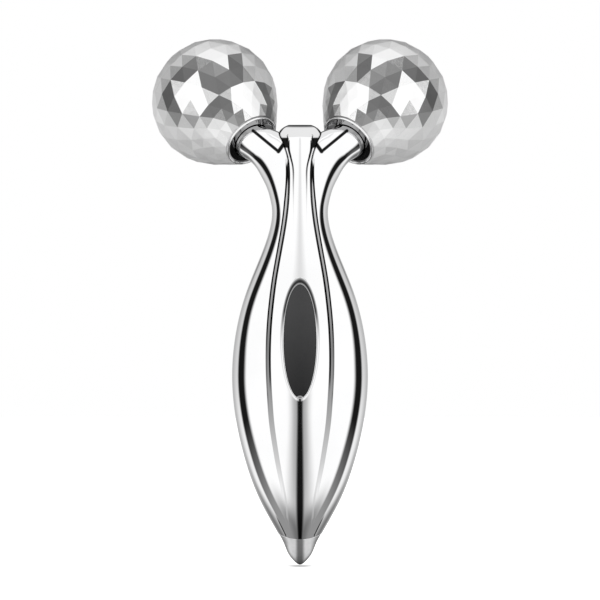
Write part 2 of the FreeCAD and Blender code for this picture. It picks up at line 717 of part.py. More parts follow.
def make_roller():
    """The left roller's own pieces and its fixed axle parts, about the Z axis."""
    mouth = -MOUTH_DISTANCE
    flange_back = mouth + RING_FLANGE
    tube_end = flange_back + RING_TUBE_LENGTH
    arm_end = mouth + ARM_END_DEPTH
    mouth_hole = RING_TUBE_RADIUS + PART_CLEARANCE
    core_seat = CORE_RADIUS + PART_CLEARANCE

    hollow = Part.makeSphere(BALL_RADIUS - BALL_WALL)
    hollow = hollow.fuse(rod(mouth_hole, Z_AXIS * mouth, ORIGIN))
    boss = tube(core_seat, core_seat + BOSS_WALL, BOSS_START, BALL_RADIUS)
    boss = boss.fuse(rod(core_seat, Z_AXIS * (CORE_END + PART_CLEARANCE), Z_AXIS * BALL_RADIUS))
    shell = faceted_drop().cut(hollow.cut(boss))

    rim_inner = MOUTH_RADIUS - RING_RIM
    flange_radius = cone_share_point(0)[1] - PART_CLEARANCE
    ring_corners = [
        V(flange_radius, 0, flange_back),
        V(RING_TUBE_RADIUS, 0, flange_back),
        V(RING_TUBE_RADIUS, 0, tube_end),
        V(RING_HOLE_RADIUS, 0, tube_end),
        V(RING_HOLE_RADIUS, 0, tube_end - RING_LIP),
    ]
    rim_edge = V(rim_inner, 0, mouth)
    outer_edge = V(MOUTH_RADIUS, 0, mouth)
    dish_radius = rim_inner - (rim_inner - RING_HOLE_RADIUS) * DISH_WIDTH_SHARE
    dish_middle = V(dish_radius, 0, mouth + (RING_FLANGE + RING_TUBE_LENGTH) * DISH_DEPTH_SHARE)
    edges = [Part.makeLine(a, b) for a, b in zip(ring_corners, ring_corners[1:])]
    edges.append(spline([ring_corners[-1], dish_middle, rim_edge]))
    edges.append(Part.makeLine(rim_edge, outer_edge))
    edges.append(Part.makeLine(outer_edge, ring_corners[0]))
    ring = Part.Face(Part.Wire(edges)).revolve(ORIGIN, Z_AXIS, 360)

    core = spin([
        (BUSH_RADIUS, tube_end),
        (RING_TUBE_RADIUS, tube_end),
        (RING_TUBE_RADIUS, tube_end + CORE_FLANGE),
        (CORE_RADIUS, tube_end + CORE_FLANGE),
        (CORE_RADIUS, CORE_END),
        (0, CORE_END),
        (0, CORE_BORE_END),
        (BUSH_RADIUS, CORE_BORE_END),
    ])
    bush_bore = AXLE_RADIUS + RUNNING_CLEARANCE
    washer_end = arm_end + WASHER_THICKNESS
    inner_start = washer_end + END_PLAY
    inner_bush = tube(bush_bore, BUSH_RADIUS, inner_start, inner_start + INNER_BUSH_LENGTH)
    outer_end = CLIP_GROOVE_START - END_PLAY
    outer_bush = tube(bush_bore, BUSH_RADIUS, outer_end - OUTER_BUSH_LENGTH, outer_end)
    washer = tube(AXLE_RADIUS, WASHER_RADIUS, arm_end, washer_end)

    groove_radius = AXLE_RADIUS - CLIP_GROOVE_DEPTH
    groove_end = CLIP_GROOVE_START + CLIP_THICKNESS
    axle = rod(AXLE_RADIUS, Z_AXIS * axle_foot(), Z_AXIS * AXLE_END)
    axle = axle.cut(tube(groove_radius, 2 * AXLE_RADIUS, CLIP_GROOVE_START, groove_end))
    clip = tube(groove_radius, groove_radius + CLIP_RIM, CLIP_GROOVE_START, groove_end)
    clip_mouth = Part.makeBox(CLIP_MOUTH, BALL_RADIUS, BALL_RADIUS)
    clip_mouth.translate(V(-CLIP_MOUTH / 2, 0, 0))
    clip = clip.cut(clip_mouth)

    export_pair("roller_shell", set_on_axle(shell))
    export_pair("mouth_ring", set_on_axle(ring))
    export_pair("roller_core", set_on_axle(core))
    export_pair("inner_bush", set_on_axle(inner_bush))
    export_pair("outer_bush", set_on_axle(outer_bush))
    export_pair("thrust_washer", set_on_axle(washer))
    export_pair("axle", set_on_axle(axle))
    export_pair("axle_clip", set_on_axle(clip))


def main():
    """Build and write every piece."""
    os.makedirs("parts", exist_ok=True)
    make_body()
    board, cell = make_board()
    export("circuit_board", board)
    export("solar_cell", cell)
    export("board_components", make_board_components())
    export("end_cap", make_cap())
    make_roller()


main()
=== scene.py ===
"""Massage roller: a bright Y-shaped grip with two faceted rolling balls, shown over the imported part.

Every new surface is a formula on a grid of points. The tables are in millimetres above the lowest
point of the tail, as measured on the photo; the settings are in metres.
"""
import math

import bmesh
import bpy
import numpy as np
from bpy.props import FloatProperty, FloatVectorProperty, IntProperty, PointerProperty
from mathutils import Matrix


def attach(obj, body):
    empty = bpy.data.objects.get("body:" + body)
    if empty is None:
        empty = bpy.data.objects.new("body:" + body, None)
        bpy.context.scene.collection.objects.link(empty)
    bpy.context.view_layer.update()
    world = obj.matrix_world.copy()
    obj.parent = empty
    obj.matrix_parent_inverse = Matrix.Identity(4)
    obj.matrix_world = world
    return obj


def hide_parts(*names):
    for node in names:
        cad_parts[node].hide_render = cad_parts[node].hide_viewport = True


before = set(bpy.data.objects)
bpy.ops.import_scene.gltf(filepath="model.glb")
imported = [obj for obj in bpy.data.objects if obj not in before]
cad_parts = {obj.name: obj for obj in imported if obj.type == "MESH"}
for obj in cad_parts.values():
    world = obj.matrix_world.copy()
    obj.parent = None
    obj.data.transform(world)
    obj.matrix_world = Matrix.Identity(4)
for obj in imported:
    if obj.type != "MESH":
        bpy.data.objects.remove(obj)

bl_info = {
    "name": "Massage roller",
    "version": (1, 0, 0),
    "blender": (4, 5, 0),
    "location": "View3D > Sidebar > Roller",
    "description": "Builds the bright massage roller over its packed part",
    "category": "Add Mesh",
}

# One millimetre in metres, and the height of the frame's origin above the tail's lowest point
MM = 0.001
HAND_HEIGHT = 57.078

# Each row: height, set-back, half width, front depth, rear depth and lean of one grip section
GRIP_ROWS = [
    (10.9, 9.6, 7.2, 7.2, 7.2, -22.6),
    (20.1, 6.1, 12.3, 9.6, 10.0, -12.0),
    (32.5, 2.7, 16.9, 11.4, 12.2, -4.0),
    (44.8, 0.67, 19.7, 12.3, 13.4, 0.0),
    (57.1, 0.0, 20.9, 12.6, 13.8, 0.0),
    (70.0, 0.1, 20.0, 12.5, 13.5, 0.0),
    (84.8, 0.6, 16.3, 11.4, 12.0, 0.0),
    (97.1, 1.3, 11.4, 9.6, 9.9, 0.0),
]

# Each row: height, offset, set-back, half width, half depth, spread and lean of one left arm section
ARM_ROWS = [
    (104.3, 0.6, 1.8, 8.6, 8.4, 2.0, 5.0),
    (110.3, 1.5, 2.4, 7.18, 7.1, 8.8, 10.0),
    (114.75, 2.15, 3.4, 7.3, 6.6, 17.9, 15.0),
    (119.9, 3.35, 5.1, 7.74, 6.2, 27.7, 22.0),
    (124.3, 5.6, 7.5, 7.78, 5.9, 37.2, 29.0),
    (127.2, 8.5, 9.4, 6.86, 5.6, 44.4, 34.0),
    (129.3, 11.5, 11.1, 6.15, 5.7, 47.5, 36.9),
    (130.8, 14.7, 13.4, 5.8, 5.8, 43.1, 36.9),
    (133.2, 17.1, 15.9, 5.7, 5.7, 43.1, 36.9),
]

# Each row: height, set-back, half width and front depth of the spine, and drop of the trim's sides
TONGUE_ROWS = [
    (109.5, 2.6, 8.2, 8.7, 3.0),
    (118.0, 5.2, 7.3, 9.6, 5.0),
    (126.0, 9.3, 8.4, 9.8, 6.0),
    (130.5, 12.0, 11.0, 8.9, 5.5),
    (132.8, 13.5, 11.6, 8.2, 4.0),
    (134.2, 14.3, 11.6, 6.9, 3.5),
    (135.2, 14.9, 11.6, 5.3, 2.6),
    (135.8, 15.2, 11.6, 3.0, 1.8),
]

# Each row: height, set-back, half width and half depth of the bridge between the two arms
BRIDGE_ROWS = [
    (104.0, 3.0, 5.0, 5.0),
    (110.0, 4.0, 6.2, 5.4),
    (118.0, 6.7, 6.5, 6.2),
    (126.0, 11.2, 6.3, 6.4),
    (130.5, 13.6, 6.3, 6.4),
    (132.6, 14.6, 6.2, 6.0),
    (134.2, 15.3, 5.8, 5.3),
    (135.2, 15.6, 4.8, 4.1),
    (135.7, 15.8, 3.4, 2.6),
    (135.85, 15.9, 1.6, 1.2),
]
BRIDGE_SQUARENESS = 0.75

# Each pair: height and half width of the crease beside the centre trim
CREASE_ROWS = [
    (6.0, 3.8), (14.0, 4.3), (22.9, 5.1), (28.5, 6.25), (36.2, 7.65), (43.6, 8.75), (50.9, 9.35),
    (60.0, 9.8), (69.4, 9.75), (75.6, 9.4), (81.7, 8.8), (87.9, 8.0), (94.1, 6.95), (100.2, 5.85),
    (106.4, 4.85), (112.5, 4.2), (118.7, 3.85), (123.0, 3.9), (126.0, 4.3), (129.0, 5.2), (131.0, 6.0),
    (132.8, 6.75), (134.0, 6.2), (135.2, 4.8), (136.0, 3.1),
]

# Share of the crease's width, and of its depth, left at each height
CREASE_WIDTH_SHARES = [(6.0, 1.0), (112.0, 1.0), (123.0, 0.2), (136.0, 0.1)]
CREASE_FADE_SHARES = [
    (6.0, 0.0), (18.0, 0.0), (36.0, 0.1), (60.0, 0.35), (76.0, 1.0), (121.0, 1.0),
    (125.5, 0.0), (140.0, 0.0),
]

# Columns across the edge beside the crease: distance outwards and share of the crease's depth
CREASE_EDGE = [(-1.2, 1.0), (-0.06, 1.0), (0.0, 0.95), (0.07, 0.8), (0.33, 0.2), (0.4, 0.05), (0.5, 0.0)]

# Sums repeated to find the crease on a leaning section, and the most that sines across it may reach
CREASE_TRIES = 5
CREASE_SINE = 0.99
EDGE_SINE = 0.999

# Painted joint shadow at each height: on the crease's walls, and on its floor
WALL_SHADES = [
    (18.0, 0.0), (22.7, 0.3), (32.0, 0.44), (45.0, 0.55), (66.0, 0.7), (84.0, 1.0), (122.0, 1.0),
    (125.5, 0.0),
]
FLOOR_SHADES = [
    (18.0, 0.0), (22.7, 0.3), (32.0, 0.44), (45.0, 0.55), (66.0, 0.64), (84.0, 0.57), (100.0, 0.53),
    (117.5, 0.45), (120.5, 0.95), (122.0, 0.95), (125.5, 0.0),
]

# Each pair: height, and the painted shadow between the fine line and the trim's edge, deep where the arms
# meet it
CORNER_SHADES = [(128.3, 0.0), (128.9, 1.0), (131.5, 1.0), (132.1, 0.0)]

# Each pair: height, and the share of the walls' painted joint shadow that the trim's edge takes
TRIM_SHADES = [(123.4, 1.0), (125.4, 0.0), (128.3, 0.0), (128.9, 1.0), (136.0, 1.0)]

# Shares of the crease's depth between which its wall gets the painted shadow
WALL_SHARES = (0.02, 0.98)

# Columns across the trim's edge inside its straight side: distance inwards and drop below the crown
TRIM_EDGE = [(0.0, 0.75), (0.08, 0.64), (0.48, 0.15), (0.56, 0.05), (0.7, 0.0)]

# Share of the trim's rounded edge left at each height
TRIM_FADE_SHARES = [(6.0, 0.1), (18.0, 0.1), (45.0, 0.2), (60.0, 0.5), (76.0, 1.0)]

# Each row: height, half width, depth and breadth of the fine line on each side of the trim's upper end
LINE_ROWS = [
    (90.0, 2.3, 0.0, 1.0),
    (102.0, 2.05, 0.03, 1.0),
    (112.0, 1.95, 0.12, 1.2),
    (118.0, 2.03, 0.22, 1.5),
    (123.0, 2.25, 0.3, 1.6),
    (126.4, 3.15, 0.34, 1.6),
    (129.0, 3.68, 0.36, 1.6),
    (131.0, 3.75, 0.36, 1.3),
    (132.2, 3.85, 0.3, 0.8),
    (132.9, 3.95, 0.0, 0.5),
]

# Least distance of the fine line's edge from the trim's rounded edge
LINE_MARGIN = 0.05

# Columns across the fine line: distance from its middle and share of its depth; the outer ones come first
LINE_CUT = [(-0.3, 0.0), (-0.07, 0.85), (0.0, 1.0), (0.07, 0.85), (0.3, 0.0)]
LINE_OUTER_COLUMNS = 3

# The tail cap's outline: distance below the seam and radius
CAP_OUTLINE = [
    (0.0, 7.1), (1.7, 6.2), (3.5, 5.35), (5.4, 4.62), (7.3, 3.9), (8.9, 3.0), (10.2, 2.0),
    (11.2, 1.05), (11.8, 0.0),
]

# The cap's rounded rim at the seam: distance below the seam and how far inside the cap's radius
CAP_RIM = [(0.05, 0.25), (0.12, 0.06)]
CAP_RIM_END = (0.3, 0.02)

# Across the window's frame: share of the way from the lens outwards, height above the trim and painted
# shadow
BEZEL_PROFILE = [
    (0.0, -0.8, 0.0), (0.0, 0.12, 0.5), (0.07, 0.3, 0.5), (0.16, 0.34, 0.55), (0.24, 0.3, 0.65),
    (0.34, 0.16, 0.8), (0.55, 0.1, 0.76), (0.78, 0.06, 0.56), (0.95, 0.02, 0.3), (1.0, -0.1, 0.0),
    (1.0, -0.8, 0.0),
]

# Sines of the angle round the frame between which that painted shadow grows, and the shadow across its
# lower half
BEZEL_SHADE_SINES = [(-0.1, 0.0), (0.5, 1.0)]
BEZEL_EDGE_SHADES = [(0.3, 0.0), (0.6, 0.3), (0.85, 0.4), (1.0, 0.3)]
# The key's half width, lift and painted shade, and the lens's lift and thickness
KEY_HALF_WIDTH = 1.3
KEY_LIFT = 0.1
KEY_SHADE = 0.56
LENS_LIFT = 0.06
LENS_THICKNESS = 0.7

# Rollers: the left ball's centre, its wall, the rows of facets on its cone and on its round end, and the
# share of the facets left in the last rows before the pole
BALL_CENTRE = (-26.4, 26.1, 143.1)
BALL_WALL = 2.2
CONE_ROWS = 3
SPHERE_ROWS = 8
POLE_SHARES = {3: 0.73, 2: 0.5, 1: 0.27, 0: 0.0}
HOLE_RADIUS = 8.46
RING_FLANGE = 0.7

# The mouth ring from its flange to its rim, and the dish inside: distance from the mouth and radius
RING_BACK = [
    (5.7, 6.1), (5.7, 8.4), (0.7, 8.4), (0.7, 8.85), (0.28, 8.85), (0.13, 8.81), (0.04, 8.73),
    (0.0, 8.62), (0.03, 8.51), (0.11, 8.43), (0.24, 8.38),
]
RING_DISH = [(0.4, 8.3), (0.55, 8.1), (0.6, 7.7), (0.6, 7.3), (0.6, 6.9), (0.6, 6.1)]

# Painted joint shadow on the dish and the radius inside which it lies
DISH_SHADE = 0.55
DISH_SHADE_RADIUS = 8.2

# Numbers of points on the grids: along and across, or along and round
LIMB_STEPS = 300
FRONT_COLUMNS = (12, 56)
REAR_COLUMNS = 72
FLAT_COLUMNS = 8
BRIDGE_STEPS = (60, 64)
TRIM_STEPS = 280
TRIM_COLUMNS = (10, 16)
FRAME_STEPS = 180
KEY_STEPS = (15, 32)
LENS_STEPS = (16, 120)
CAP_STEPS = (48, 96)
HOLLOW_STEPS = 24
RING_STEPS = (24, 120)
DOME_STEPS = (33, 64)

# Distance within which points are welded, distance that counts as on the middle plane, and the angles
# in degrees above which edges are sharp
WELD_DISTANCE = 0.002
PLANE_DISTANCE = 1e-6
SHARP_ANGLE = 35.0
FACET_SHARP_ANGLE = 3.0

# Endings of the names of pieces inside: colour, metallic, roughness and size of the mottling
INSIDE_FINISHES = {
    ("gasket",): ((0.02, 0.02, 0.02), 0.0, 0.7, 300.0),
    ("solar_cell",): ((0.02, 0.025, 0.06), 0.0, 0.25, 500.0),
    ("circuit_board",): ((0.03, 0.2, 0.07), 0.0, 0.45, 350.0),
    ("board_components",): ((0.03, 0.03, 0.03), 0.0, 0.5, 600.0),
    ("left_lead_wire",): ((0.5, 0.04, 0.03), 0.0, 0.5, 300.0),
    ("right_lead_wire",): ((0.05, 0.05, 0.05), 0.0, 0.5, 300.0),
    ("axle", "axle_clip", "shell_screws"): ((0.6, 0.6, 0.62), 1.0, 0.3, 400.0),
    ("thrust_washer", "bush"): ((0.85, 0.84, 0.8), 0.0, 0.5, 300.0),
    ("roller_core",): ((0.35, 0.35, 0.36), 0.0, 0.55, 200.0),
}

# Inside finishes: shares of the colour in their dark and light places, shares of the roughness, fineness of
# the grain against the mottling, and the grain's detail, strength and depth
FINISH_SHARES = (0.86, 1.08)
FINISH_ROUGHNESS = (0.8, 1.2)
GRAIN_FINENESS = 9
GRAIN_DETAIL = 5.0
GRAIN_BUMP = {"Strength": 0.04, "Distance": 0.0002}

# Values between which soft noise is used
NOISE_SPAN = (0.3, 0.7)

# The tail cap's satin, its strip in metres; ranges are from, to, and the results at these two places. The
# strip and the rim are painted reflections, darker down the middle and towards the outline
SATIN_REFLECTION_STRIP = (0.0005, 0.0017, 0.26, 1.0)
SATIN_REFLECTION_RIM = (0.45, 0.75, 1.0, 0.3)
SATIN_BRUSHING = (0.2, 0.8, 0.9, 1.0)
SATIN_ROUGHNESS = (0.2, 0.8, 0.28, 0.4)
SATIN_METALLIC = 0.3
BRUSHING_NOISE = (900.0, 4.0)

# Plating: span of the painted joint shadow; scale, span and least light of its clouds; scale and detail
# of the wiping marks in its gloss, and their least roughness as a share
PAINTED_SHADE_SPAN = (0.15, 0.85)
CLOUD_SCALE = 45.0
CLOUD_SPAN = (0.35, 0.65)
CLOUD_SHARE = 0.96
WIPING_NOISE = (260.0, 6.0)
WIPING_SHARE = 0.7

# Corners of the painted reflection of a dark V-shaped line on each arm, as distance from the middle plane
# and height; the scale on the distance from its short leg, which widens that leg; and the soft span of its
# edge
ARM_REFLECTION_CORNERS = [(14.5, 134.0), (6.65, 127.5), (4.6, 130.4)]
ARM_REFLECTION_LEG_SCALE = 0.8
ARM_REFLECTION_EDGE = (0.7, 1.3)

# Painted highlights on the facets' tone map: place across and up, and half sizes, as shares of the map
FACET_HIGHLIGHTS = [(0.187, 0.55, 0.053, 0.13), (0.25, 0.865, 0.055, 0.065), (0.3375, 0.54, 0.048, 0.14)]

# Painted reflection tones round a highlight: a quarter of the distance from it, and the grey there
FACET_TONES = [
    (0.2, 0.97), (0.25, 0.92), (0.27, 0.2), (0.36, 0.15), (0.44, 0.28), (0.5, 0.65), (0.66, 0.88),
]
TONE_SCALE = 0.25

# Calm zones of the facets' painted reflections: their greys, and where they lie by height, distance from a
# patch and turn
CALM_TONES = [(0.0, 0.7), (1.0, 0.92)]
CALM_LOW = (0.25, 0.4, 1.0, 0.0)
CALM_HIGH = (0.84, 0.9, 0.0, 1.0)
CALM_OUTSIDE = (0.24, 0.26, 0.0, 1.0)
CALM_INNER_TURN = (0.34, 0.37, 0.0, 1.0)
CALM_INNER_HEIGHT = (0.64, 0.7, 0.0, 1.0)

# The tone map is used twice round a ball, from a quarter turn on
MAP_SHIFT = 0.25
MAP_PERIOD = 0.5

# Gloss of the facets: scale and detail of the wear, and what it does
WEAR_NOISE = (300.0, 5.0)
FACET_ROUGHNESS = (*NOISE_SPAN, 0.36, 0.44)
FACET_METALLIC = 0.7

# Window: size and share of the mottle, and its gloss
MOTTLE_SCALE = 400.0
MOTTLE_SHARE = 0.12
LENS_ROUGHNESS = (0.03, 0.09, 0.18, 0.26)
LENS_SPECULAR = 0.3

# Floor: half size as a share of the dome's radius, metres below the tip, tones and glow of its paper
FLOOR_SHARE = 0.7
FLOOR_DROP = 0.0004
PAPER_SCALE = 30.0
PAPER_TONES = [(0.3, 0.93), (0.7, 0.96)]
FLOOR_GLOW = 0.7

# Painted floor shadow under the tip: half width, half length away from the camera, and set-back of its
# middle
SHADOW_OVAL = (6.6, 42.0, 14.0)
SHADOW_FADE = (0.1, 1.0, 0.4, 1.0)

# Surroundings by turn from the front and height above the horizon, in radians: the dark side band's shift
# with height, its soft edges and its tone, and what lies beside and behind it
BAND_SHIFT = (0.0, 0.3, 0.0, 0.13)
BAND_START_EDGE = (-0.13, 0.06)
BAND_END_EDGE = (-0.08, 0.08)
BAND_TONE = 0.01
BESIDE_HEIGHTS = (-0.4, 0.05)
BESIDE_LOW_TONE = 0.95
REAR_MARGIN = 0.1
REAR_END = 2.6
REAR_END_TONE = 0.5
REAR_TOP = (0.5, 0.9, 0.0, 0.85)

# Fading downwards: how much lower it starts in front, how much higher behind, and its ends; then the
# glows low down and overhead, and the dimmer middle of the front
SINK_FRONT = (0.2, 1.2, 0.28, 0.0)
SINK_REAR = (1.8, 2.5, 0.0, 0.5)
SINK_FADE = (-1.0, -0.6, 0.3, 1.0)
LOW_GLOW = (-0.85, -0.2, 0.3, 0.0)
TOP_GLOW = (0.9, 1.2, 0.0, 0.85)
FRONT_DIM = (0.0, 0.3, 0.76, 1.0)

# The dark spots that the mouths mirror, the dark line behind and above, and the strip low in front
MOUTH_SPOT = (0.035, 0.08, 0.02, 1.0)
EDGE_TURN = (2.3, 2.7, 0.0, 1.0)
EDGE_ABOVE = (0.1, 0.3, 0.0, 1.0)
EDGE_UNDER = (0.5, 0.75, 1.0, 0.0)
EDGE_LIGHT = (0.0, 1.0, 1.0, 0.08)
STRIPE_HEIGHTS = (-1.2, -0.2)
STRIPE_WIDENING = 2.6
STRIPE_CORE = (0.028, 0.072, 0.01, 0.5)
STRIPE_SIDE = (0.06, 0.24, 0.0, 0.5)
STRIPE_END = (-0.14, -0.07, 0.0, 1.0)

# Factor on the dome's radius where heights are worked out, so that no sine passes 1
DOME_MARGIN = 1.001


def smooth_through(keys, values, places):
    """Natural cubic spline through rows of values at rising keys, read at the given places."""
    keys = np.asarray(keys, float)
    values = np.asarray(values, float)
    step = np.diff(keys)
    slopes = np.diff(values, axis=0) / step[:, None]
    matrix = np.eye(len(keys))
    inner = np.arange(1, len(keys) - 1)
    matrix[inner, inner - 1] = step[:-1]
    matrix[inner, inner] = 2 * (step[:-1] + step[1:])
    matrix[inner, inner + 1] = step[1:]
    right = np.zeros_like(values)
    right[1:-1] = 6 * np.diff(slopes, axis=0)
    bend = np.linalg.solve(matrix, right)
    left = np.clip(np.searchsorted(keys, places) - 1, 0, len(keys) - 2)
    width = step[left][:, None]
    after = (np.asarray(places, float) - keys[left])[:, None]
    start_slope = slopes[left] - width * (2 * bend[left] + bend[left + 1]) / 6
    cubic = (bend[left + 1] - bend[left]) / (6 * width)
    return values[left] + after * (start_slope + after * (bend[left] / 2 + after * cubic))


def even_rows(table, path, count):
    """Rows of a table on a smooth curve, evenly spaced along a path with one point per row."""
    lengths = np.linalg.norm(np.diff(path, axis=0), axis=1)
    keys = np.concatenate([[0.0], np.cumsum(lengths)])
    return smooth_through(keys, table, np.linspace(0, keys[-1], count))


def read_table(table, places):
    """Values of a table of pairs at the given places, in straight lines from pair to pair."""
    keys, values = np.array(table).T
    return np.interp(places, keys, values)


def full_turn(steps):
    """Angles evenly spaced round a full turn."""
    return 2 * np.pi * np.arange(steps) / steps


def crease_half_width(height):
    """Half width of the crease at the given heights."""
    table = np.array(CREASE_ROWS)
    flat = np.clip(np.ravel(height), table[0, 0], table[-1, 0])
    return smooth_through(table[:, 0], table[:, 1:], flat)[:, 0].reshape(np.shape(height))


def crease_width(height, settings):
    """Width of the crease at the given heights: full along the grip, closing at its upper end."""
    return read_table(CREASE_WIDTH_SHARES, height) * settings.crease_width / MM


def spine_front(across, height, lift):
    """Set-back of the grip's front at a place across and up, lifted off the surface by a length."""
    table = np.array(GRIP_ROWS)
    rows = smooth_through(table[:, 0], table[:, 1:4], np.ravel(height))
    set_back, half_width, depth = (column.reshape(np.shape(height)) for column in rows.T)
    return set_back - depth * np.sqrt(1 - (across / half_width) ** 2) - lift


def loop_mesh(grid):
    """Points and four-sided faces of a grid whose rows are closed loops."""
    rows, columns = grid.shape[:2]
    low = np.arange(rows - 1)[:, None] * columns
    high = low + columns
    column = np.arange(columns)[None, :]
    following = (column + 1) % columns
    faces = np.stack([low + column, low + following, high + following, high + column], -1)
    return grid.reshape(-1, 3), faces.reshape(-1, 4).tolist()


def tube_mesh(grid):
    """Points and faces of a tube whose rows are closed loops, with a flat face over each end."""
    rows, columns = grid.shape[:2]
    points, faces = loop_mesh(grid)
    faces.append(list(range(columns))[::-1])
    faces.append(list(range((rows - 1) * columns, rows * columns)))
    return points, faces


def spokes(axis, angle):
    """Directions square to an axis at the given angles round it."""
    side = np.cross(axis, (0.0, 0.0, 1.0))
    side /= np.linalg.norm(side)
    other = np.cross(axis, side)
    return np.cos(angle)[:, None] * side + np.sin(angle)[:, None] * other


def turned_mesh(outline, steps, origin, axis):
    """An outline of (along, radius) turned about an axis: origin + along * axis + radius * spoke."""
    outline = np.asarray(outline, float)
    rays = spokes(axis, full_turn(steps))
    return loop_mesh(origin + outline[:, 0, None, None] * axis + outline[:, 1, None, None] * rays[None])


def joined(*meshes):
    """Several lists of points and faces as one."""
    points = []
    faces = []
    shift = 0
    for some_points, some_faces in meshes:
        points.append(some_points)
        faces.extend([[corner + shift for corner in face] for face in some_faces])
        shift += len(some_points)
    return np.concatenate(points), faces


def mirrored(points, faces):
    """The points and faces with their mirror image in the middle plane added."""
    image = points * np.array([-1.0, 1.0, 1.0])
    return joined((points, faces), (image, [face[::-1] for face in faces]))


def mark_painted_shade(work, gap):
    """Write each point's share of painted joint shadow into the map of the corners at it."""
    layer = work.loops.layers.uv.new("gap")
    for face in work.faces:
        for corner in face.loops:
            corner[layer].uv = (gap[corner.vert.index], 0.0)


def add_piece(name, mesh_parts, material, body, nodes, sharp_angle=SHARP_ANGLE, gap=None):
    """Make one object from points in millimetres, weld it, face it outwards and put it on its body."""
    points, faces = mesh_parts
    lowered = (points - np.array([0.0, 0.0, HAND_HEIGHT])) * MM
    mesh = bpy.data.meshes.new(name)
    mesh.from_pydata(lowered.tolist(), [], faces)
    work = bmesh.new()
    work.from_mesh(mesh)
    # Each point's share of painted shade is kept in a map on its corners
    if gap is not None:
        mark_painted_shade(work, gap)
    bmesh.ops.remove_doubles(work, verts=work.verts, dist=WELD_DISTANCE * MM)
    bmesh.ops.delete(work, geom=[vert for vert in work.verts if not vert.link_faces], context="VERTS")
    bmesh.ops.recalc_face_normals(work, faces=work.faces)
    work.to_mesh(mesh)
    work.free()
    mesh.shade_smooth()
    mesh.set_sharp_from_angle(angle=math.radians(sharp_angle))
    mesh.materials.append(material)
    piece = bpy.data.objects.new(name, mesh)
    bpy.context.scene.collection.objects.link(piece)
    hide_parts(*nodes)
    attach(piece, body)
    return piece


def limb_rows():
    """Sections of the left limb from the tail up the grip and out along the arm, evenly spaced.

    Columns: height, offset, set-back, half width, front depth, rear depth, spread and lean.
    """
    table = [(row[0], 0.0, row[1], row[2], row[3], row[4], 0.0, row[5]) for row in GRIP_ROWS]
    table += [(row[0], row[1], row[2], row[3], row[4], row[4], row[5], row[6]) for row in ARM_ROWS]
    table = np.array(table)
    return even_rows(table, table[:, :3], LIMB_STEPS)


def limb_frame(rows):
    """Middle, outward and backward directions of each section of the left limb."""
    height, offset, set_back = rows.T[:3]
    spread, lean = np.radians(rows.T[6:])
    none = np.zeros(len(rows))
    outward = np.stack([-np.cos(spread), none, -np.sin(spread)], 1)
    along = np.stack([-np.cos(lean) * np.sin(spread), np.sin(lean), np.cos(lean) * np.cos(spread)], 1)
    middle = np.stack([-offset, set_back, height], 1)
    return middle, outward, np.cross(outward, along)


def spaced_angles(start, end, count):
    """Angles from start to end for every row, evenly spaced."""
    share = np.linspace(0, 1, count)[None, :]
    return start[:, None] + (end - start)[:, None] * share


def front_columns(rows, settings):
    """Place across (sine), depth and painted joint shadow of the front limb's columns beside the trim's
    crease.
    """
    level, offset, _, half_width, front_depth = rows.T[:5]
    spread, lean = np.radians(rows.T[6:])
    reach = half_width * np.cos(spread)
    middle = np.zeros(len(rows))
    for _ in range(CREASE_TRIES):
        front = front_depth * np.sqrt(1 - middle ** 2)
        height = level + front * np.cos(spread) * np.sin(lean) - half_width * np.sin(spread) * middle
        edge = crease_half_width(height) + crease_width(height, settings) / 2
        sideways = offset + front * np.sin(spread) * np.sin(lean)
        middle = np.clip((edge - sideways) / reach, -CREASE_SINE, CREASE_SINE)
    out, share = np.array(CREASE_EDGE).T
    group = np.arcsin(np.clip(middle[:, None] + out[None, :] / reach[:, None], -EDGE_SINE, EDGE_SINE))
    right_angle = np.full(len(rows), np.pi / 2)
    inner = spaced_angles(-right_angle, group[:, 0], FRONT_COLUMNS[0])[:, :-1]
    outer = spaced_angles(group[:, -1], right_angle, FRONT_COLUMNS[1])[:, 1:]
    angle = np.concatenate([inner, group, outer], 1)
    fade = read_table(CREASE_FADE_SHARES, height)[:, None]
    cut = np.concatenate([np.ones(inner.shape[1]), share, np.zeros(outer.shape[1])])[None, :]
    sunk = fade * cut * settings.crease_depth / MM
    depth = np.clip(front_depth[:, None] * np.cos(angle) - sunk, 0, None)
    # Painted joint shadow: on the crease's walls and on its floor
    wall = (cut > WALL_SHARES[0]) & (cut < WALL_SHARES[1])
    floor = cut >= WALL_SHARES[1]
    shade = wall * read_table(WALL_SHADES, height)[:, None]
    shade = shade + floor * read_table(FLOOR_SHADES, height)[:, None]
    return np.sin(angle), depth, shade


def limb_half(rows, sine, depth, toward):
    """The left limb: middle + outward*half width*sine + toward*depth, with a flat side at the parting.

    Points past the middle plane are set on it, and faces that lie in it are left out.
    """
    middle, outward, backward = limb_frame(rows)
    flat = np.linspace(1, -1, FLAT_COLUMNS)[None, 1:-1] * np.ones((len(rows), 1))
    sine = np.concatenate([sine, flat], 1)
    depth = np.concatenate([depth, np.full(flat.shape, depth.min())], 1)
    across = outward[:, None, :] * (rows[:, 3:4] * sine)[:, :, None]
    grid = middle[:, None, :] + across + toward * backward[:, None, :] * depth[:, :, None]
    grid[:, :, 0] = np.minimum(grid[:, :, 0], 0)
    points, faces = tube_mesh(grid)
    on_plane = points[:, 0] > -PLANE_DISTANCE
    return points, [face for face in faces if not on_plane[face].all()]


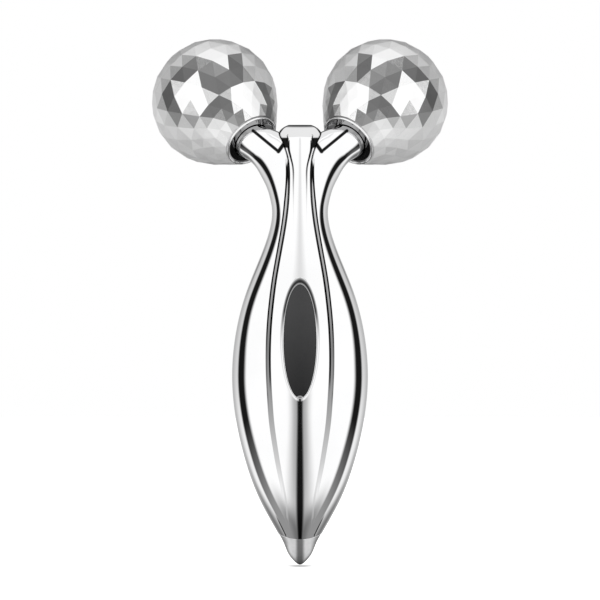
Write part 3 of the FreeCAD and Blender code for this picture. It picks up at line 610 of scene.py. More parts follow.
def bridge_mesh():
    """The bridge between the arms: squared ellipses stacked up to a closed rounded top."""
    table = np.array(BRIDGE_ROWS)
    path = table[:, :2] - table[:, 2:3] * np.array([0.0, 1.0])
    rows = even_rows(table, path, BRIDGE_STEPS[0])
    angle = full_turn(BRIDGE_STEPS[1])
    cosine = np.sign(np.cos(angle)) * np.abs(np.cos(angle)) ** BRIDGE_SQUARENESS
    sine = np.sign(np.sin(angle)) * np.abs(np.sin(angle)) ** BRIDGE_SQUARENESS
    x = rows[:, 2:3] * cosine
    y = rows[:, 1:2] + rows[:, 3:4] * sine
    z = rows[:, 0:1] + 0 * angle
    return tube_mesh(np.stack([x, y, z], -1))


def between(start, end, count):
    """Columns evenly spaced between two columns, without the two themselves."""
    return start + (end - start) * (np.arange(1, count + 1) / (count + 1))[None, :]


def fine_line(height, room):
    """Places across and drop of the columns of the trim's fine line, kept within the room beside it."""
    table = np.array(LINE_ROWS)
    heights = np.clip(height[:, 0], table[0, 0], table[-1, 0])
    line, depth, breadth = smooth_through(table[:, 0], table[:, 1:], heights).T[:, :, None]
    place, share = np.array(LINE_CUT).T
    place = breadth * place[None, :]
    line = np.minimum(line, room - place[:, -1:] - LINE_MARGIN)
    return place - line, np.clip(depth, 0, None) * share[None, :]


def trim_mesh(settings):
    """The centre trim: set-back - (depth*sqrt(1-(across/half width)^2) + lift - drop), with rounded edges.

    The second result is the painted joint shadow on its edges and in its fine lines.
    """
    table = [(row[0], row[1], row[2], row[3], row[5], settings.trim_depth / MM) for row in GRIP_ROWS]
    table += [(row[0], row[1], row[2], row[3], 0.0, row[4]) for row in TONGUE_ROWS]
    table = np.array(table)
    rows = even_rows(table, np.stack([table[:, 0], table[:, 1] - table[:, 3]], 1), TRIM_STEPS)
    height, set_back, half_width, depth, lean, drop = rows.T[:, :, None]
    half = crease_half_width(height) - crease_width(height, settings) / 2
    inward, edge_drop = np.array(TRIM_EDGE).T
    side = np.concatenate([-half, inward[None, :] - half], 1)
    side_drop = np.concatenate([drop, edge_drop[None, :] * read_table(TRIM_FADE_SHARES, height)], 1)
    cut, cut_drop = fine_line(height, -side[:, -1:])
    outer = between(side[:, -1:], cut[:, :1], TRIM_COLUMNS[0])
    inner = between(cut[:, -1:], -cut[:, -1:], TRIM_COLUMNS[1])
    left = np.concatenate([side, outer, cut], 1)
    across = np.concatenate([left, inner, -left[:, ::-1]], 1)
    flat = np.zeros_like(outer)
    left_drop = np.concatenate([side_drop, flat, cut_drop], 1)
    lowered = np.concatenate([left_drop, np.zeros_like(inner), left_drop[:, ::-1]], 1)
    out = depth * np.sqrt(1 - (across / half_width) ** 2) + settings.trim_lift / MM - lowered
    y = set_back - out * np.cos(np.radians(lean))
    z = height + out * np.sin(np.radians(lean))
    # Painted joint shadow on the trim's edges, in the corner and in the fine lines
    on_edge = np.concatenate([[True], edge_drop > 0])[None, :]
    edge_painted_shade = on_edge * read_table(WALL_SHADES[:-1], height) * read_table(TRIM_SHADES, height)
    corner = read_table(CORNER_SHADES, height)
    cut_painted_shade = cut_drop / np.array(LINE_ROWS)[:, 2].max()
    cut_painted_shade[:, :LINE_OUTER_COLUMNS] = np.maximum(cut_painted_shade[:, :LINE_OUTER_COLUMNS], corner)
    left_painted_shade = np.concatenate([np.maximum(edge_painted_shade, corner), corner + flat, cut_painted_shade], 1)
    gap = np.concatenate([left_painted_shade, np.zeros_like(inner), left_painted_shade[:, ::-1]], 1)
    return tube_mesh(np.stack([across, y, z], -1)), gap.ravel()


def window_oval(steps, wide, tall, height):
    """An oval on the trim: places (wide cos a, height + tall sin a) for evenly spaced angles."""
    angle = full_turn(steps)
    return np.stack([wide / MM * np.cos(angle), height / MM + tall / MM * np.sin(angle)], 1)


def lens_oval(settings, steps):
    """The oval edge of the window's lens."""
    wide = settings.window_half_width
    return window_oval(steps, wide, settings.window_half_length, settings.window_height)


def bezel_mesh(settings):
    """The oval frame: its profile spans from the lens to a wider, higher oval, and the key below the lens.

    The second result is the painted shadow on the frame, deepest on its upper half, and a flat painted
    shade on the key.
    """
    inside = lens_oval(settings, FRAME_STEPS)
    outside = window_oval(
        FRAME_STEPS, settings.frame_half_width, settings.frame_half_length, settings.frame_height
    )
    share, lift, shade = np.array(BEZEL_PROFILE).T
    place = inside[:, None, :] + (outside - inside)[:, None, :] * share[None, :, None]
    y = spine_front(place[:, :, 0], place[:, :, 1], settings.trim_lift / MM) - lift[None, :]
    grid = np.stack([place[:, :, 0], y, place[:, :, 1]], -1)
    ring = loop_mesh(np.concatenate([grid, grid[:1]]))
    # Painted shadow, deepest on the frame's upper half
    sine = np.sin(2 * np.pi * np.arange(FRAME_STEPS + 1) / FRAME_STEPS)
    upper = read_table(BEZEL_SHADE_SINES, sine)[:, None]
    edge = read_table(BEZEL_EDGE_SHADES, share)
    gap = (upper * shade[None, :] + (1 - upper) * edge[None, :]).ravel()
    key = key_mesh(settings)
    return joined(ring, key), np.concatenate([gap, np.full(len(key[0]), KEY_SHADE)])


def key_mesh(settings):
    """The key at the lens's lower end: a flat oval ball, half sunk into the trim."""
    tilt = np.linspace(0, np.pi, KEY_STEPS[0])[:, None]
    turn = full_turn(KEY_STEPS[1])[None, :]
    low_end = (settings.window_height - settings.window_half_length) / MM
    x = KEY_HALF_WIDTH * np.sin(tilt) * np.cos(turn)
    z = low_end + settings.key_radius / MM * np.sin(tilt) * np.sin(turn)
    y = spine_front(x, z, settings.trim_lift / MM) - KEY_LIFT * np.cos(tilt)
    return loop_mesh(np.stack([x, y, z], -1))


def lens_mesh(settings):
    """The window lens: a disc r*(wide cos a, tall sin a) on the trim's surface, with a thickness."""
    rows, columns = LENS_STEPS
    height = settings.window_height / MM
    line = lens_oval(settings, columns) - np.array([0.0, height])
    share = np.concatenate([np.linspace(0, 1, rows), np.linspace(1, 0, rows)])[:, None]
    lift = np.repeat([LENS_LIFT, LENS_LIFT - LENS_THICKNESS], rows)[:, None]
    x = share * line[None, :, 0]
    z = height + share * line[None, :, 1]
    y = spine_front(x, z, settings.trim_lift / MM) - lift
    return loop_mesh(np.stack([x, y, z], -1))


def cap_mesh():
    """The tail cap: its rounded outline turned about the tail's own axis."""
    table = np.array(CAP_OUTLINE)
    outline = even_rows(table, table, CAP_STEPS[0])
    outline[-1, 1] = 0
    edge = outline[0, 1]
    rim = [(CAP_RIM[0][0], 0.0)] + [(below, edge - inside) for below, inside in CAP_RIM]
    outline[0] += (CAP_RIM_END[0], -CAP_RIM_END[1])
    lean = math.radians(-GRIP_ROWS[0][5])
    seam = np.array([0.0, GRIP_ROWS[0][1], GRIP_ROWS[0][0]])
    axis = np.array([0.0, math.sin(lean), -math.cos(lean)])
    return turned_mesh(np.concatenate([rim, outline]), CAP_STEPS[1], seam, axis)


def axle_axis():
    """Direction of the left axle, from its spread and lean."""
    spread, lean = (math.radians(angle) for angle in ARM_ROWS[-1][5:])
    side = -math.cos(lean) * math.sin(spread)
    return np.array([side, math.sin(lean), math.cos(lean) * math.cos(spread)])


def facet_rows(settings):
    """Rows of facet corners as (distance along the axle, radius, corners): a cone, then the ball."""
    radius = settings.ball_radius / MM
    mouth = settings.mouth_distance / MM
    rim = settings.mouth_radius / MM
    angle = math.acos(radius / math.hypot(mouth, rim)) + math.atan2(rim, mouth)
    tangent = np.array([-radius * math.cos(angle), radius * math.sin(angle)])
    slope = (tangent[1] - rim) / (tangent[0] + mouth)
    start = np.array([RING_FLANGE - mouth, rim + slope * RING_FLANGE])
    shares = np.arange(CONE_ROWS) / CONE_ROWS
    rows = [(*(start + (tangent - start) * share), settings.facets) for share in shares]
    for step in range(SPHERE_ROWS + 1):
        turn = angle + (math.pi - angle) * step / SPHERE_ROWS
        count = round(settings.facets * POLE_SHARES.get(SPHERE_ROWS - step, 1.0))
        rows.append((-radius * math.cos(turn), radius * math.sin(turn), max(count, 1)))
    return rows


def zip_rings(lower, upper, low_start, high_start):
    """Triangles between two rings of angles, each time taking the next corner by angle."""
    faces = []
    low = 0
    high = 0
    high_end = len(upper) if len(upper) > 1 else 0
    while low < len(lower) or high < high_end:
        next_low = lower[(low + 1) % len(lower)] + 2 * math.pi * ((low + 1) // len(lower))
        next_high = upper[(high + 1) % len(upper)] + 2 * math.pi * ((high + 1) // len(upper))
        here_low = low_start + low % len(lower)
        here_high = high_start + high % len(upper)
        if high == high_end or (low < len(lower) and next_low <= next_high):
            low += 1
            faces.append([here_low, low_start + low % len(lower), here_high])
        else:
            high += 1
            faces.append([here_low, high_start + high % len(upper), here_high])
    return faces


def ball_mesh(settings):
    """The left ball: rings of corners, turned half a facet in every second row, zipped into flat triangles.

    Inside it has a smooth hollow of constant wall.
    """
    axis = axle_axis()
    centre = np.array(BALL_CENTRE)
    rings = []
    angles = []
    for index, (along, radius, count) in enumerate(facet_rows(settings)):
        angle = 2 * np.pi * (np.arange(count) + 0.5 * (index % 2)) / count
        rings.append(centre + along * axis + radius * spokes(axis, angle))
        angles.append(angle)
    starts = np.concatenate([[0], np.cumsum([len(ring) for ring in rings])])
    faces = []
    for index in range(len(rings) - 1):
        faces += zip_rings(angles[index], angles[index + 1], int(starts[index]), int(starts[index + 1]))
    points = np.concatenate(rings)
    rim = zip_rings(angles[0], angles[0], 0, len(points))
    points, faces = joined((points, faces), hollow_mesh(settings, centre, axis))
    return points, faces + rim


def hollow_mesh(settings, centre, axis):
    """The smooth hollow of the left ball, from the hole at its mouth to the far end."""
    inner = settings.ball_radius / MM - BALL_WALL
    arc = np.linspace(math.acos(-math.sqrt(1 - (HOLE_RADIUS / inner) ** 2)), 0, HOLLOW_STEPS)
    round_end = np.stack([inner * np.cos(arc), inner * np.sin(arc)], 1)
    mouth = (RING_FLANGE - settings.mouth_distance / MM, HOLE_RADIUS)
    return turned_mesh(np.concatenate([[mouth], round_end]), settings.facets, centre, axis)


def mouth_ring_mesh(settings):
    """The left mouth ring: a rim, a dished recess and the tube that holds it, turned about the axle.

    The second result is the painted joint shadow on the dish.
    """
    table = np.array(RING_DISH)
    dish = even_rows(table, table, RING_STEPS[0])
    outline = np.concatenate([RING_BACK, dish, [RING_BACK[0]]])
    axis = axle_axis()
    origin = np.array(BALL_CENTRE) - axis * settings.mouth_distance / MM
    # Painted joint shadow on the dish
    shade = np.where(outline[:, 1] < DISH_SHADE_RADIUS, DISH_SHADE, 0.0)
    return turned_mesh(outline, RING_STEPS[1], origin, axis), np.repeat(shade, RING_STEPS[1])


def set_sockets(tree, node, sockets):
    """Set a node's sockets to values, or link them to other sockets."""
    for name, value in sockets.items():
        if isinstance(value, bpy.types.NodeSocket):
            tree.links.new(value, node.inputs[name])
        else:
            node.inputs[name].default_value = value


def add_node(tree, kind, sockets=None, **properties):
    """Add a shader node, set its properties, and set or link its sockets."""
    made = tree.nodes.new(kind)
    for name, value in properties.items():
        setattr(made, name, value)
    set_sockets(tree, made, sockets or {})
    return made


def add_math(tree, operation, first, *others):
    """A sum on one value, or carried on over several, such as a product of three."""
    for other in others or (0.0,):
        first = add_node(tree, "ShaderNodeMath", {0: first, 1: other}, operation=operation).outputs[0]
    return first


def add_vector_math(tree, operation, first, second=(0.0, 0.0, 0.0)):
    """One sum on two vectors; lengths, distances and dot products come out as a value."""
    made = add_node(tree, "ShaderNodeVectorMath", {0: first, 1: second}, operation=operation)
    return made.outputs["Value" if operation in ("LENGTH", "DISTANCE", "DOT_PRODUCT") else "Vector"]


def scaled(tree, vector, share):
    """A vector or colour times a value."""
    sockets = {0: vector, "Scale": share}
    return add_node(tree, "ShaderNodeVectorMath", sockets, operation="SCALE").outputs["Vector"]


def split(tree, vector):
    """The X, Y and Z of a vector."""
    return add_node(tree, "ShaderNodeSeparateXYZ", {"Vector": vector}).outputs


def combine(tree, x, y, z):
    """A vector of three values."""
    return add_node(tree, "ShaderNodeCombineXYZ", {"X": x, "Y": y, "Z": z}).outputs["Vector"]


def add_range(tree, value, low, high, to_low, to_high):
    """Carry a value from one range to another, smoothly and without leaving it."""
    sockets = {"Value": value, "From Min": low, "From Max": high, "To Min": to_low, "To Max": to_high}
    made = add_node(tree, "ShaderNodeMapRange", sockets, interpolation_type="SMOOTHSTEP")
    return made.outputs["Result"]


def add_ramp(tree, factor, stops):
    """A colour ramp through stops of (place, colour)."""
    made = add_node(tree, "ShaderNodeValToRGB", {"Fac": factor})
    elements = made.color_ramp.elements
    while len(elements) < len(stops):
        elements.new(0.5)
    for element, (place, colour) in zip(elements, stops):
        element.position = place
        element.color = (*colour, 1.0)
    return made.outputs["Color"]


def add_grey_ramp(tree, factor, stops):
    """A ramp through stops of (place, grey)."""
    return add_ramp(tree, factor, [(place, (grey, grey, grey)) for place, grey in stops])


def add_noise(tree, coordinates, scale, detail=3.0):
    """Soft noise on the given coordinates."""
    sockets = {"Vector": coordinates, "Scale": scale, "Detail": detail}
    return add_node(tree, "ShaderNodeTexNoise", sockets).outputs["Fac"]


def oval_distance(tree, place, middle, half):
    """Distance of a place from an oval's middle, as a share of the oval's half sizes."""
    location = (-middle[0] / half[0], -middle[1] / half[1], 0.0)
    sockets = {"Vector": place, "Location": location, "Scale": (1 / half[0], 1 / half[1], 0.0)}
    moved = add_node(tree, "ShaderNodeMapping", sockets)
    return add_vector_math(tree, "LENGTH", moved.outputs["Vector"])


def new_material(name):
    """An empty material with its shader, its object coordinates and its map coordinates."""
    material = bpy.data.materials.new(name)
    material.use_nodes = True
    tree = material.node_tree
    coordinates = add_node(tree, "ShaderNodeTexCoord")
    shader = tree.nodes["Principled BSDF"]
    return material, tree, shader, coordinates.outputs["Object"], coordinates.outputs["UV"]


def plain_material(name, colour, metallic, roughness, scale):
    """A finish whose colour and gloss both wander softly, with a fine grain in the surface."""
    material, tree, shader, place, _ = new_material(name)
    cloud = add_noise(tree, place, scale)
    grain = add_noise(tree, place, scale * GRAIN_FINENESS, GRAIN_DETAIL)
    tones = [[min(value * share, 1.0) for value in colour] for share in FINISH_SHARES]
    rough = (roughness * share for share in FINISH_ROUGHNESS)
    set_sockets(tree, shader, {
        "Base Color": add_ramp(tree, cloud, list(zip(NOISE_SPAN, tones))),
        "Roughness": add_range(tree, grain, *NOISE_SPAN, *rough),
        "Normal": add_node(tree, "ShaderNodeBump", {"Height": grain, **GRAIN_BUMP}).outputs["Normal"],
        "Metallic": metallic,
    })
    return material


def cap_material(settings):
    """Satin metal: brushed fine, its painted reflections darker in a strip down the middle and towards the
    outline.
    """
    material, tree, shader, place, _ = new_material("cap_satin")
    side = add_math(tree, "ABSOLUTE", split(tree, place)["X"])
    facing = add_node(tree, "ShaderNodeLayerWeight", {"Blend": 0.5}).outputs["Facing"]
    brushing = add_noise(tree, place, *BRUSHING_NOISE)
    # Painted reflections: darker down the middle strip and towards the outline, times the brushing
    shade = add_math(
        tree, "MULTIPLY", add_range(tree, side, *SATIN_REFLECTION_STRIP), add_range(tree, facing, *SATIN_REFLECTION_RIM),
        add_range(tree, brushing, *SATIN_BRUSHING),
    )
    set_sockets(tree, shader, {
        "Base Color": scaled(tree, settings.satin, shade),
        "Roughness": add_range(tree, brushing, *SATIN_ROUGHNESS),
        "Metallic": SATIN_METALLIC,
    })
    return material


def leg_distance(tree, place, start, end):
    """Distance of a place from the straight line between two corners."""
    span = end - start
    away = add_vector_math(tree, "SUBTRACT", place, start)
    reach = add_vector_math(tree, "DOT_PRODUCT", away, span)
    sockets = {0: reach, 1: 1 / float(span @ span)}
    share = add_node(tree, "ShaderNodeMath", sockets, operation="MULTIPLY", use_clamp=True).outputs[0]
    return add_vector_math(tree, "DISTANCE", away, scaled(tree, span, share))


def arm_painted_reflection(tree, place, settings):
    """Painted reflection of a dark line on each arm: light 1 beside it, the darkest painted shade in it."""
    x, _, z = split(tree, place)
    flat = combine(tree, add_math(tree, "ABSOLUTE", x), 0.0, z)
    corners = [np.array([across, 0.0, height - HAND_HEIGHT]) * MM for across, height in ARM_REFLECTION_CORNERS]
    long_leg = leg_distance(tree, flat, corners[0], corners[1])
    short_leg = leg_distance(tree, flat, corners[1], corners[2])
    near = add_math(tree, "MINIMUM", long_leg, add_math(tree, "MULTIPLY", short_leg, ARM_REFLECTION_LEG_SCALE))
    edge = (settings.arm_reflection_width / 2 * share for share in ARM_REFLECTION_EDGE)
    return add_range(tree, near, *edge, settings.darkest_painted_shade, 1.0)


def chrome_material(name, settings, roughness):
    """Bright plating: nearly white metal with faint wiping marks in its gloss, painted shade in the joints.
    """
    material, tree, shader, place, painted_shade_map = new_material(name)
    light = list(settings.chrome)
    dark = [value * CLOUD_SHARE for value in light]
    colour = add_ramp(tree, add_noise(tree, place, CLOUD_SCALE), list(zip(CLOUD_SPAN, (dark, light))))
    # Painted shade, darkest where the map gives the most
    shade = add_range(tree, split(tree, painted_shade_map)["X"], *PAINTED_SHADE_SPAN, 1.0, settings.darkest_painted_shade)
    # Only the body's plating carries the painted reflection of a dark line on each arm
    if name == "body_chrome":
        shade = add_math(tree, "MULTIPLY", shade, arm_painted_reflection(tree, place, settings))
    wiping = add_noise(tree, place, *WIPING_NOISE)
    set_sockets(tree, shader, {
        "Base Color": scaled(tree, colour, shade),
        "Roughness": add_range(tree, wiping, *NOISE_SPAN, roughness * WIPING_SHARE, roughness),
        "Metallic": 1.0,
    })
    return material


def calm_share(tree, turn, height, edge):
    """Share of the calm tones at a facet: low down, high up outside the patches, and high inside."""
    low = add_range(tree, height, *CALM_LOW)
    high = add_range(tree, height, *CALM_HIGH)
    high = add_math(tree, "MULTIPLY", high, add_range(tree, edge, *CALM_OUTSIDE))
    inner = add_range(tree, turn, *CALM_INNER_TURN)
    inner = add_math(tree, "MULTIPLY", inner, add_range(tree, height, *CALM_INNER_HEIGHT))
    return add_math(tree, "MAXIMUM", low, high, inner)


def facet_material(settings):
    """Faceted plating with painted reflections: flat tones, white patches, dark grey round them, light grey
    elsewhere.
    """
    material, tree, shader, place, facet_map = new_material("facet_chrome")
    across, height, _ = split(tree, facet_map)
    turn = add_math(tree, "MODULO", add_math(tree, "ADD", across, MAP_SHIFT), MAP_PERIOD)
    half_turn = combine(tree, turn, height, 0.0)
    # Painted highlights: how far each facet lies from the nearest white patch
    distances = [oval_distance(tree, half_turn, patch[:2], patch[2:]) for patch in FACET_HIGHLIGHTS]
    nearest = add_math(tree, "MINIMUM", *distances)
    noise = add_node(tree, "ShaderNodeTexWhiteNoise", {"Vector": facet_map}, noise_dimensions="2D")
    single = noise.outputs["Value"]
    spread = add_math(tree, "MULTIPLY", add_math(tree, "SUBTRACT", single, 0.5), settings.facet_spread)
    edge = add_math(tree, "MULTIPLY", add_math(tree, "ADD", nearest, spread), TONE_SCALE)
    tones = {
        "Factor": calm_share(tree, turn, height, edge),
        "A": add_grey_ramp(tree, edge, FACET_TONES),
        "B": add_grey_ramp(tree, single, CALM_TONES),
    }
    wear = add_noise(tree, place, *WEAR_NOISE)
    set_sockets(tree, shader, {
        "Base Color": add_node(tree, "ShaderNodeMix", tones, data_type="RGBA").outputs["Result"],
        "Roughness": add_range(tree, wear, *FACET_ROUGHNESS),
        "Metallic": FACET_METALLIC,
    })
    return material


def lens_material(settings):
    """The dark window: painted light that lightens its upper end, a soft mottle and a glossy face."""
    material, tree, shader, place, _ = new_material("window_glass")
    middle = settings.window_height - HAND_HEIGHT * MM
    half = settings.window_half_length
    share = add_range(tree, split(tree, place)["Z"], middle - half, middle + half, 0.0, 1.0)
    mottle = add_math(tree, "MULTIPLY", add_noise(tree, place, MOTTLE_SCALE), MOTTLE_SHARE)
    # Painted light: the lens lighter towards its upper end
    stops = [(0.0, settings.lens_low), (1.0, settings.lens_high)]
    set_sockets(tree, shader, {
        "Base Color": add_ramp(tree, add_math(tree, "ADD", share, mottle), stops),
        "Roughness": add_range(tree, mottle, *LENS_ROUGHNESS),
        "Specular IOR Level": LENS_SPECULAR,
    })
    return material


def length(name, description, default):
    """A setting that is a length in metres."""
    return FloatProperty(name=name, description=description, default=default, unit="LENGTH")


def bearing(name, description, default):
    """A setting that is an angle in radians."""
    return FloatProperty(name=name, description=description, default=default, subtype="ANGLE")


def amount(name, description, default):
    """A setting without a unit."""
    return FloatProperty(name=name, description=description, default=default)


def tint(name, description, default):
    """A setting that is a colour."""
    return FloatVectorProperty(name=name, description=description, default=default, subtype="COLOR")


class RollerSettings(bpy.types.PropertyGroup):
    """Sizes and colours of the massage roller."""

    crease_width: length("Crease width", "Width of the crease beside the trim", 0.0006)
    crease_depth: length("Crease depth", "Depth of the crease beside the trim", 0.00045)
    trim_lift: length("Trim lift", "How far the trim stands off the grip", 0.0003)
    trim_depth: length("Trim depth", "How far the trim's sides go down on the grip", 0.0012)
    parting_gap: length("Parting gap", "Hairline between front and rear shell", 0.00006)
    window_height: length("Window height", "Middle of the lens above the tail's tip", 0.069)
    window_half_length: length("Window half length", "Half length of the lens", 0.0174)
    window_half_width: length("Window half width", "Half width of the lens", 0.00502)
    frame_height: length("Frame height", "Middle of the frame's outside above the tail's tip", 0.0697)
    frame_half_length: length("Frame half length", "Half length of the frame's outside", 0.01917)
    frame_half_width: length("Frame half width", "Half width of the frame's outside", 0.00616)
    key_radius: length("Key radius", "Rise of the key at the window's lower end", 0.00095)
    ball_radius: length("Ball radius", "Radius of a ball over its corners", 0.0195)
    mouth_distance: length("Mouth distance", "From a ball's centre to its mouth", 0.0212)
    mouth_radius: length("Mouth radius", "Radius of a ball's mouth", 0.00885)
    facets: IntProperty(name="Facets", description="Facets in each full row of a ball", default=22, min=6)
    # Spread of the painted reflection tones from facet to facet
    facet_spread: amount("Facet spread", "How far neighbouring facets differ in tone", 0.25)
    chrome: tint("Chrome", "Colour of the bright plating", (0.95, 0.95, 0.955))
    chrome_roughness: amount("Chrome roughness", "Greatest roughness of the plating", 0.05)
    ring_roughness: amount("Ring roughness", "Greatest roughness of the mouth rings", 0.07)
    # Width of the painted reflection of a dark line on each arm
    arm_reflection_width: length("Arm line width", "Width of the dark line mirrored on each arm", 0.00095)
    # Share of the light left by the darkest painted shade, in the joints and in the arms' painted
    # reflection
    darkest_painted_shade: amount("Joint shade", "Share of the plating's light left in the joints", 0.01)
    satin: tint("Satin", "Colour of the satin tail cap", (0.78, 0.78, 0.785))
    # The window's colours at the ends of its painted light, darker below and lighter above
    lens_low: tint("Lens low", "Colour of the window's lower end", (0.007, 0.007, 0.0075))
    lens_high: tint("Lens high", "Colour of the window's upper end", (0.035, 0.035, 0.036))


class RollerStageSettings(bpy.types.PropertyGroup):
    """Camera, floor and surroundings."""

    camera_distance: length("Camera distance", "From the grip to the camera", 5.0)
    camera_height: length("Camera height", "Height of the picture's middle", 0.02466)
    picture_width: length("Picture width", "Width seen at the grip", 0.1848)
    dome_radius: length("Dome radius", "Radius of the surroundings that the plating mirrors", 9.0)
    band_start: bearing("Band start", "Where the dark side band starts, seen from the front", 1.42)
    band_end: bearing("Band end", "Where the dark side band ends, seen from the front", 1.86)
    rear_tone: amount("Rear tone", "Brightness just behind the side bands", 0.7)
    front_tone: amount("Front tone", "Brightness in front of the object", 1.07)


class RollerAddShells(bpy.types.Operator):
    """Add the front and the rear shell with both arms."""

    bl_idname = "roller.add_shells"
    bl_label = "Add shells"

    def execute(self, context):
        settings = context.scene.roller
        rows = limb_rows()
        sine, depth, gap = front_columns(rows, settings)
        limb, faces = limb_half(rows, sine, depth, -1)
        front = joined(mirrored(limb, faces), bridge_mesh())
        # The limb's painted joint shadow by column; its flat side and the bridge get none
        flat = np.zeros((len(rows), len(limb) // len(rows) - gap.shape[1]))
        limb_painted_shade = np.concatenate([gap, flat], 1).ravel()
        gap = np.concatenate([limb_painted_shade, limb_painted_shade, np.zeros(len(front[0]) - 2 * len(limb))])
        chrome = chrome_material("body_chrome", settings, settings.chrome_roughness)
        add_piece("front_body", front, chrome, "handle", ["front_shell"], gap=gap)
        right_angle = np.full(len(rows), np.pi / 2)
        angle = spaced_angles(-right_angle, right_angle, REAR_COLUMNS)
        depth = np.maximum(rows[:, 5:6] * np.cos(angle), settings.parting_gap / MM)
        rear = mirrored(*limb_half(rows, np.sin(angle), depth, 1))
        plain = chrome_material("rear_chrome", settings, settings.chrome_roughness)
        add_piece("rear_body", rear, plain, "handle", ["rear_shell"])
        return {"FINISHED"}


class RollerAddTrim(bpy.types.Operator):
    """Add the spindle-shaped centre trim."""

    bl_idname = "roller.add_trim"
    bl_label = "Add trim"

    def execute(self, context):
        settings = context.scene.roller
        chrome = chrome_material("trim_chrome", settings, settings.chrome_roughness)
        trim, gap = trim_mesh(settings)
        add_piece("centre_trim", trim, chrome, "handle", ["spine_cover"], gap=gap)
        return {"FINISHED"}


class RollerAddWindow(bpy.types.Operator):
    """Add the window's frame with its key, and the dark lens."""

    bl_idname = "roller.add_window"
    bl_label = "Add window"

    def execute(self, context):
        settings = context.scene.roller
        chrome = chrome_material("frame_chrome", settings, settings.chrome_roughness)
        frame_mesh, gap = bezel_mesh(settings)
        add_piece("window_frame", frame_mesh, chrome, "handle", ["window_bezel"], gap=gap)
        glass = lens_material(settings)
        add_piece("window_glass", lens_mesh(settings), glass, "handle", ["window_lens"])
        return {"FINISHED"}


class RollerAddCap(bpy.types.Operator):
    """Add the satin tail cap."""

    bl_idname = "roller.add_cap"
    bl_label = "Add tail cap"

    def execute(self, context):
        satin = cap_material(context.scene.roller)
        add_piece("tail_cap", cap_mesh(), satin, "handle", ["end_cap"])
        return {"FINISHED"}


class RollerAddBalls(bpy.types.Operator):
    """Add both faceted balls, and give each facet one place on the tone map."""

    bl_idname = "roller.add_balls"
    bl_label = "Add balls"

    def execute(self, context):
        settings = context.scene.roller
        facets = facet_material(settings)
        points, faces = ball_mesh(settings)
        for side, sign in (("left", 1.0), ("right", -1.0)):
            flip = np.array([sign, 1.0, 1.0])
            ball = add_piece(
                side + "_ball", (points * flip, faces), facets, side + "_roller",
                [side + "_roller_shell"], FACET_SHARP_ANGLE,
            )
            self.mark_facets(ball.data, flip)
        return {"FINISHED"}

    def mark_facets(self, mesh, flip):
        """Give all corners of a facet the direction of its middle, as (turn, height) shares."""
        centre = np.empty(3 * len(mesh.polygons))
        mesh.polygons.foreach_get("center", centre)
        away = centre.reshape(-1, 3) / MM + np.array([0.0, 0.0, HAND_HEIGHT]) - np.array(BALL_CENTRE) * flip
        away /= np.linalg.norm(away, axis=1)[:, None]
        turn = np.arctan2(away[:, 0] * flip[0], -away[:, 1]) / (2 * np.pi) + 0.5
        share = np.stack([turn, away[:, 2] / 2 + 0.5], 1)
        corners = np.empty(len(mesh.polygons), dtype=np.int32)
        mesh.polygons.foreach_get("loop_total", corners)
        layer = mesh.uv_layers.new(name="facet")
        layer.data.foreach_set("uv", np.repeat(share, corners, axis=0).ravel())


class RollerAddRings(bpy.types.Operator):
    """Add the mouth ring of both balls."""

    bl_idname = "roller.add_rings"
    bl_label = "Add mouth rings"

    def execute(self, context):
        settings = context.scene.roller
        chrome = chrome_material("ring_chrome", settings, settings.ring_roughness)
        (points, faces), gap = mouth_ring_mesh(settings)
        for side, sign in (("left", 1.0), ("right", -1.0)):
            ring = (points * np.array([sign, 1.0, 1.0]), faces)
            nodes = [side + "_mouth_ring"]
            add_piece(side + "_ring", ring, chrome, side + "_roller", nodes, gap=gap)
        return {"FINISHED"}


class RollerFinishInside(bpy.types.Operator):
    """Give the pieces inside their own finishes."""

    bl_idname = "roller.finish_inside"
    bl_label = "Finish the pieces inside"

    def execute(self, context):
        for words, (colour, metallic, roughness, scale) in INSIDE_FINISHES.items():
            finish = plain_material("inside_" + words[0], colour, metallic, roughness, scale)
            for name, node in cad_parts.items():
                if any(name.endswith(word) for word in words):
                    for place in node.material_slots:
                        place.material = finish
        return {"FINISHED"}


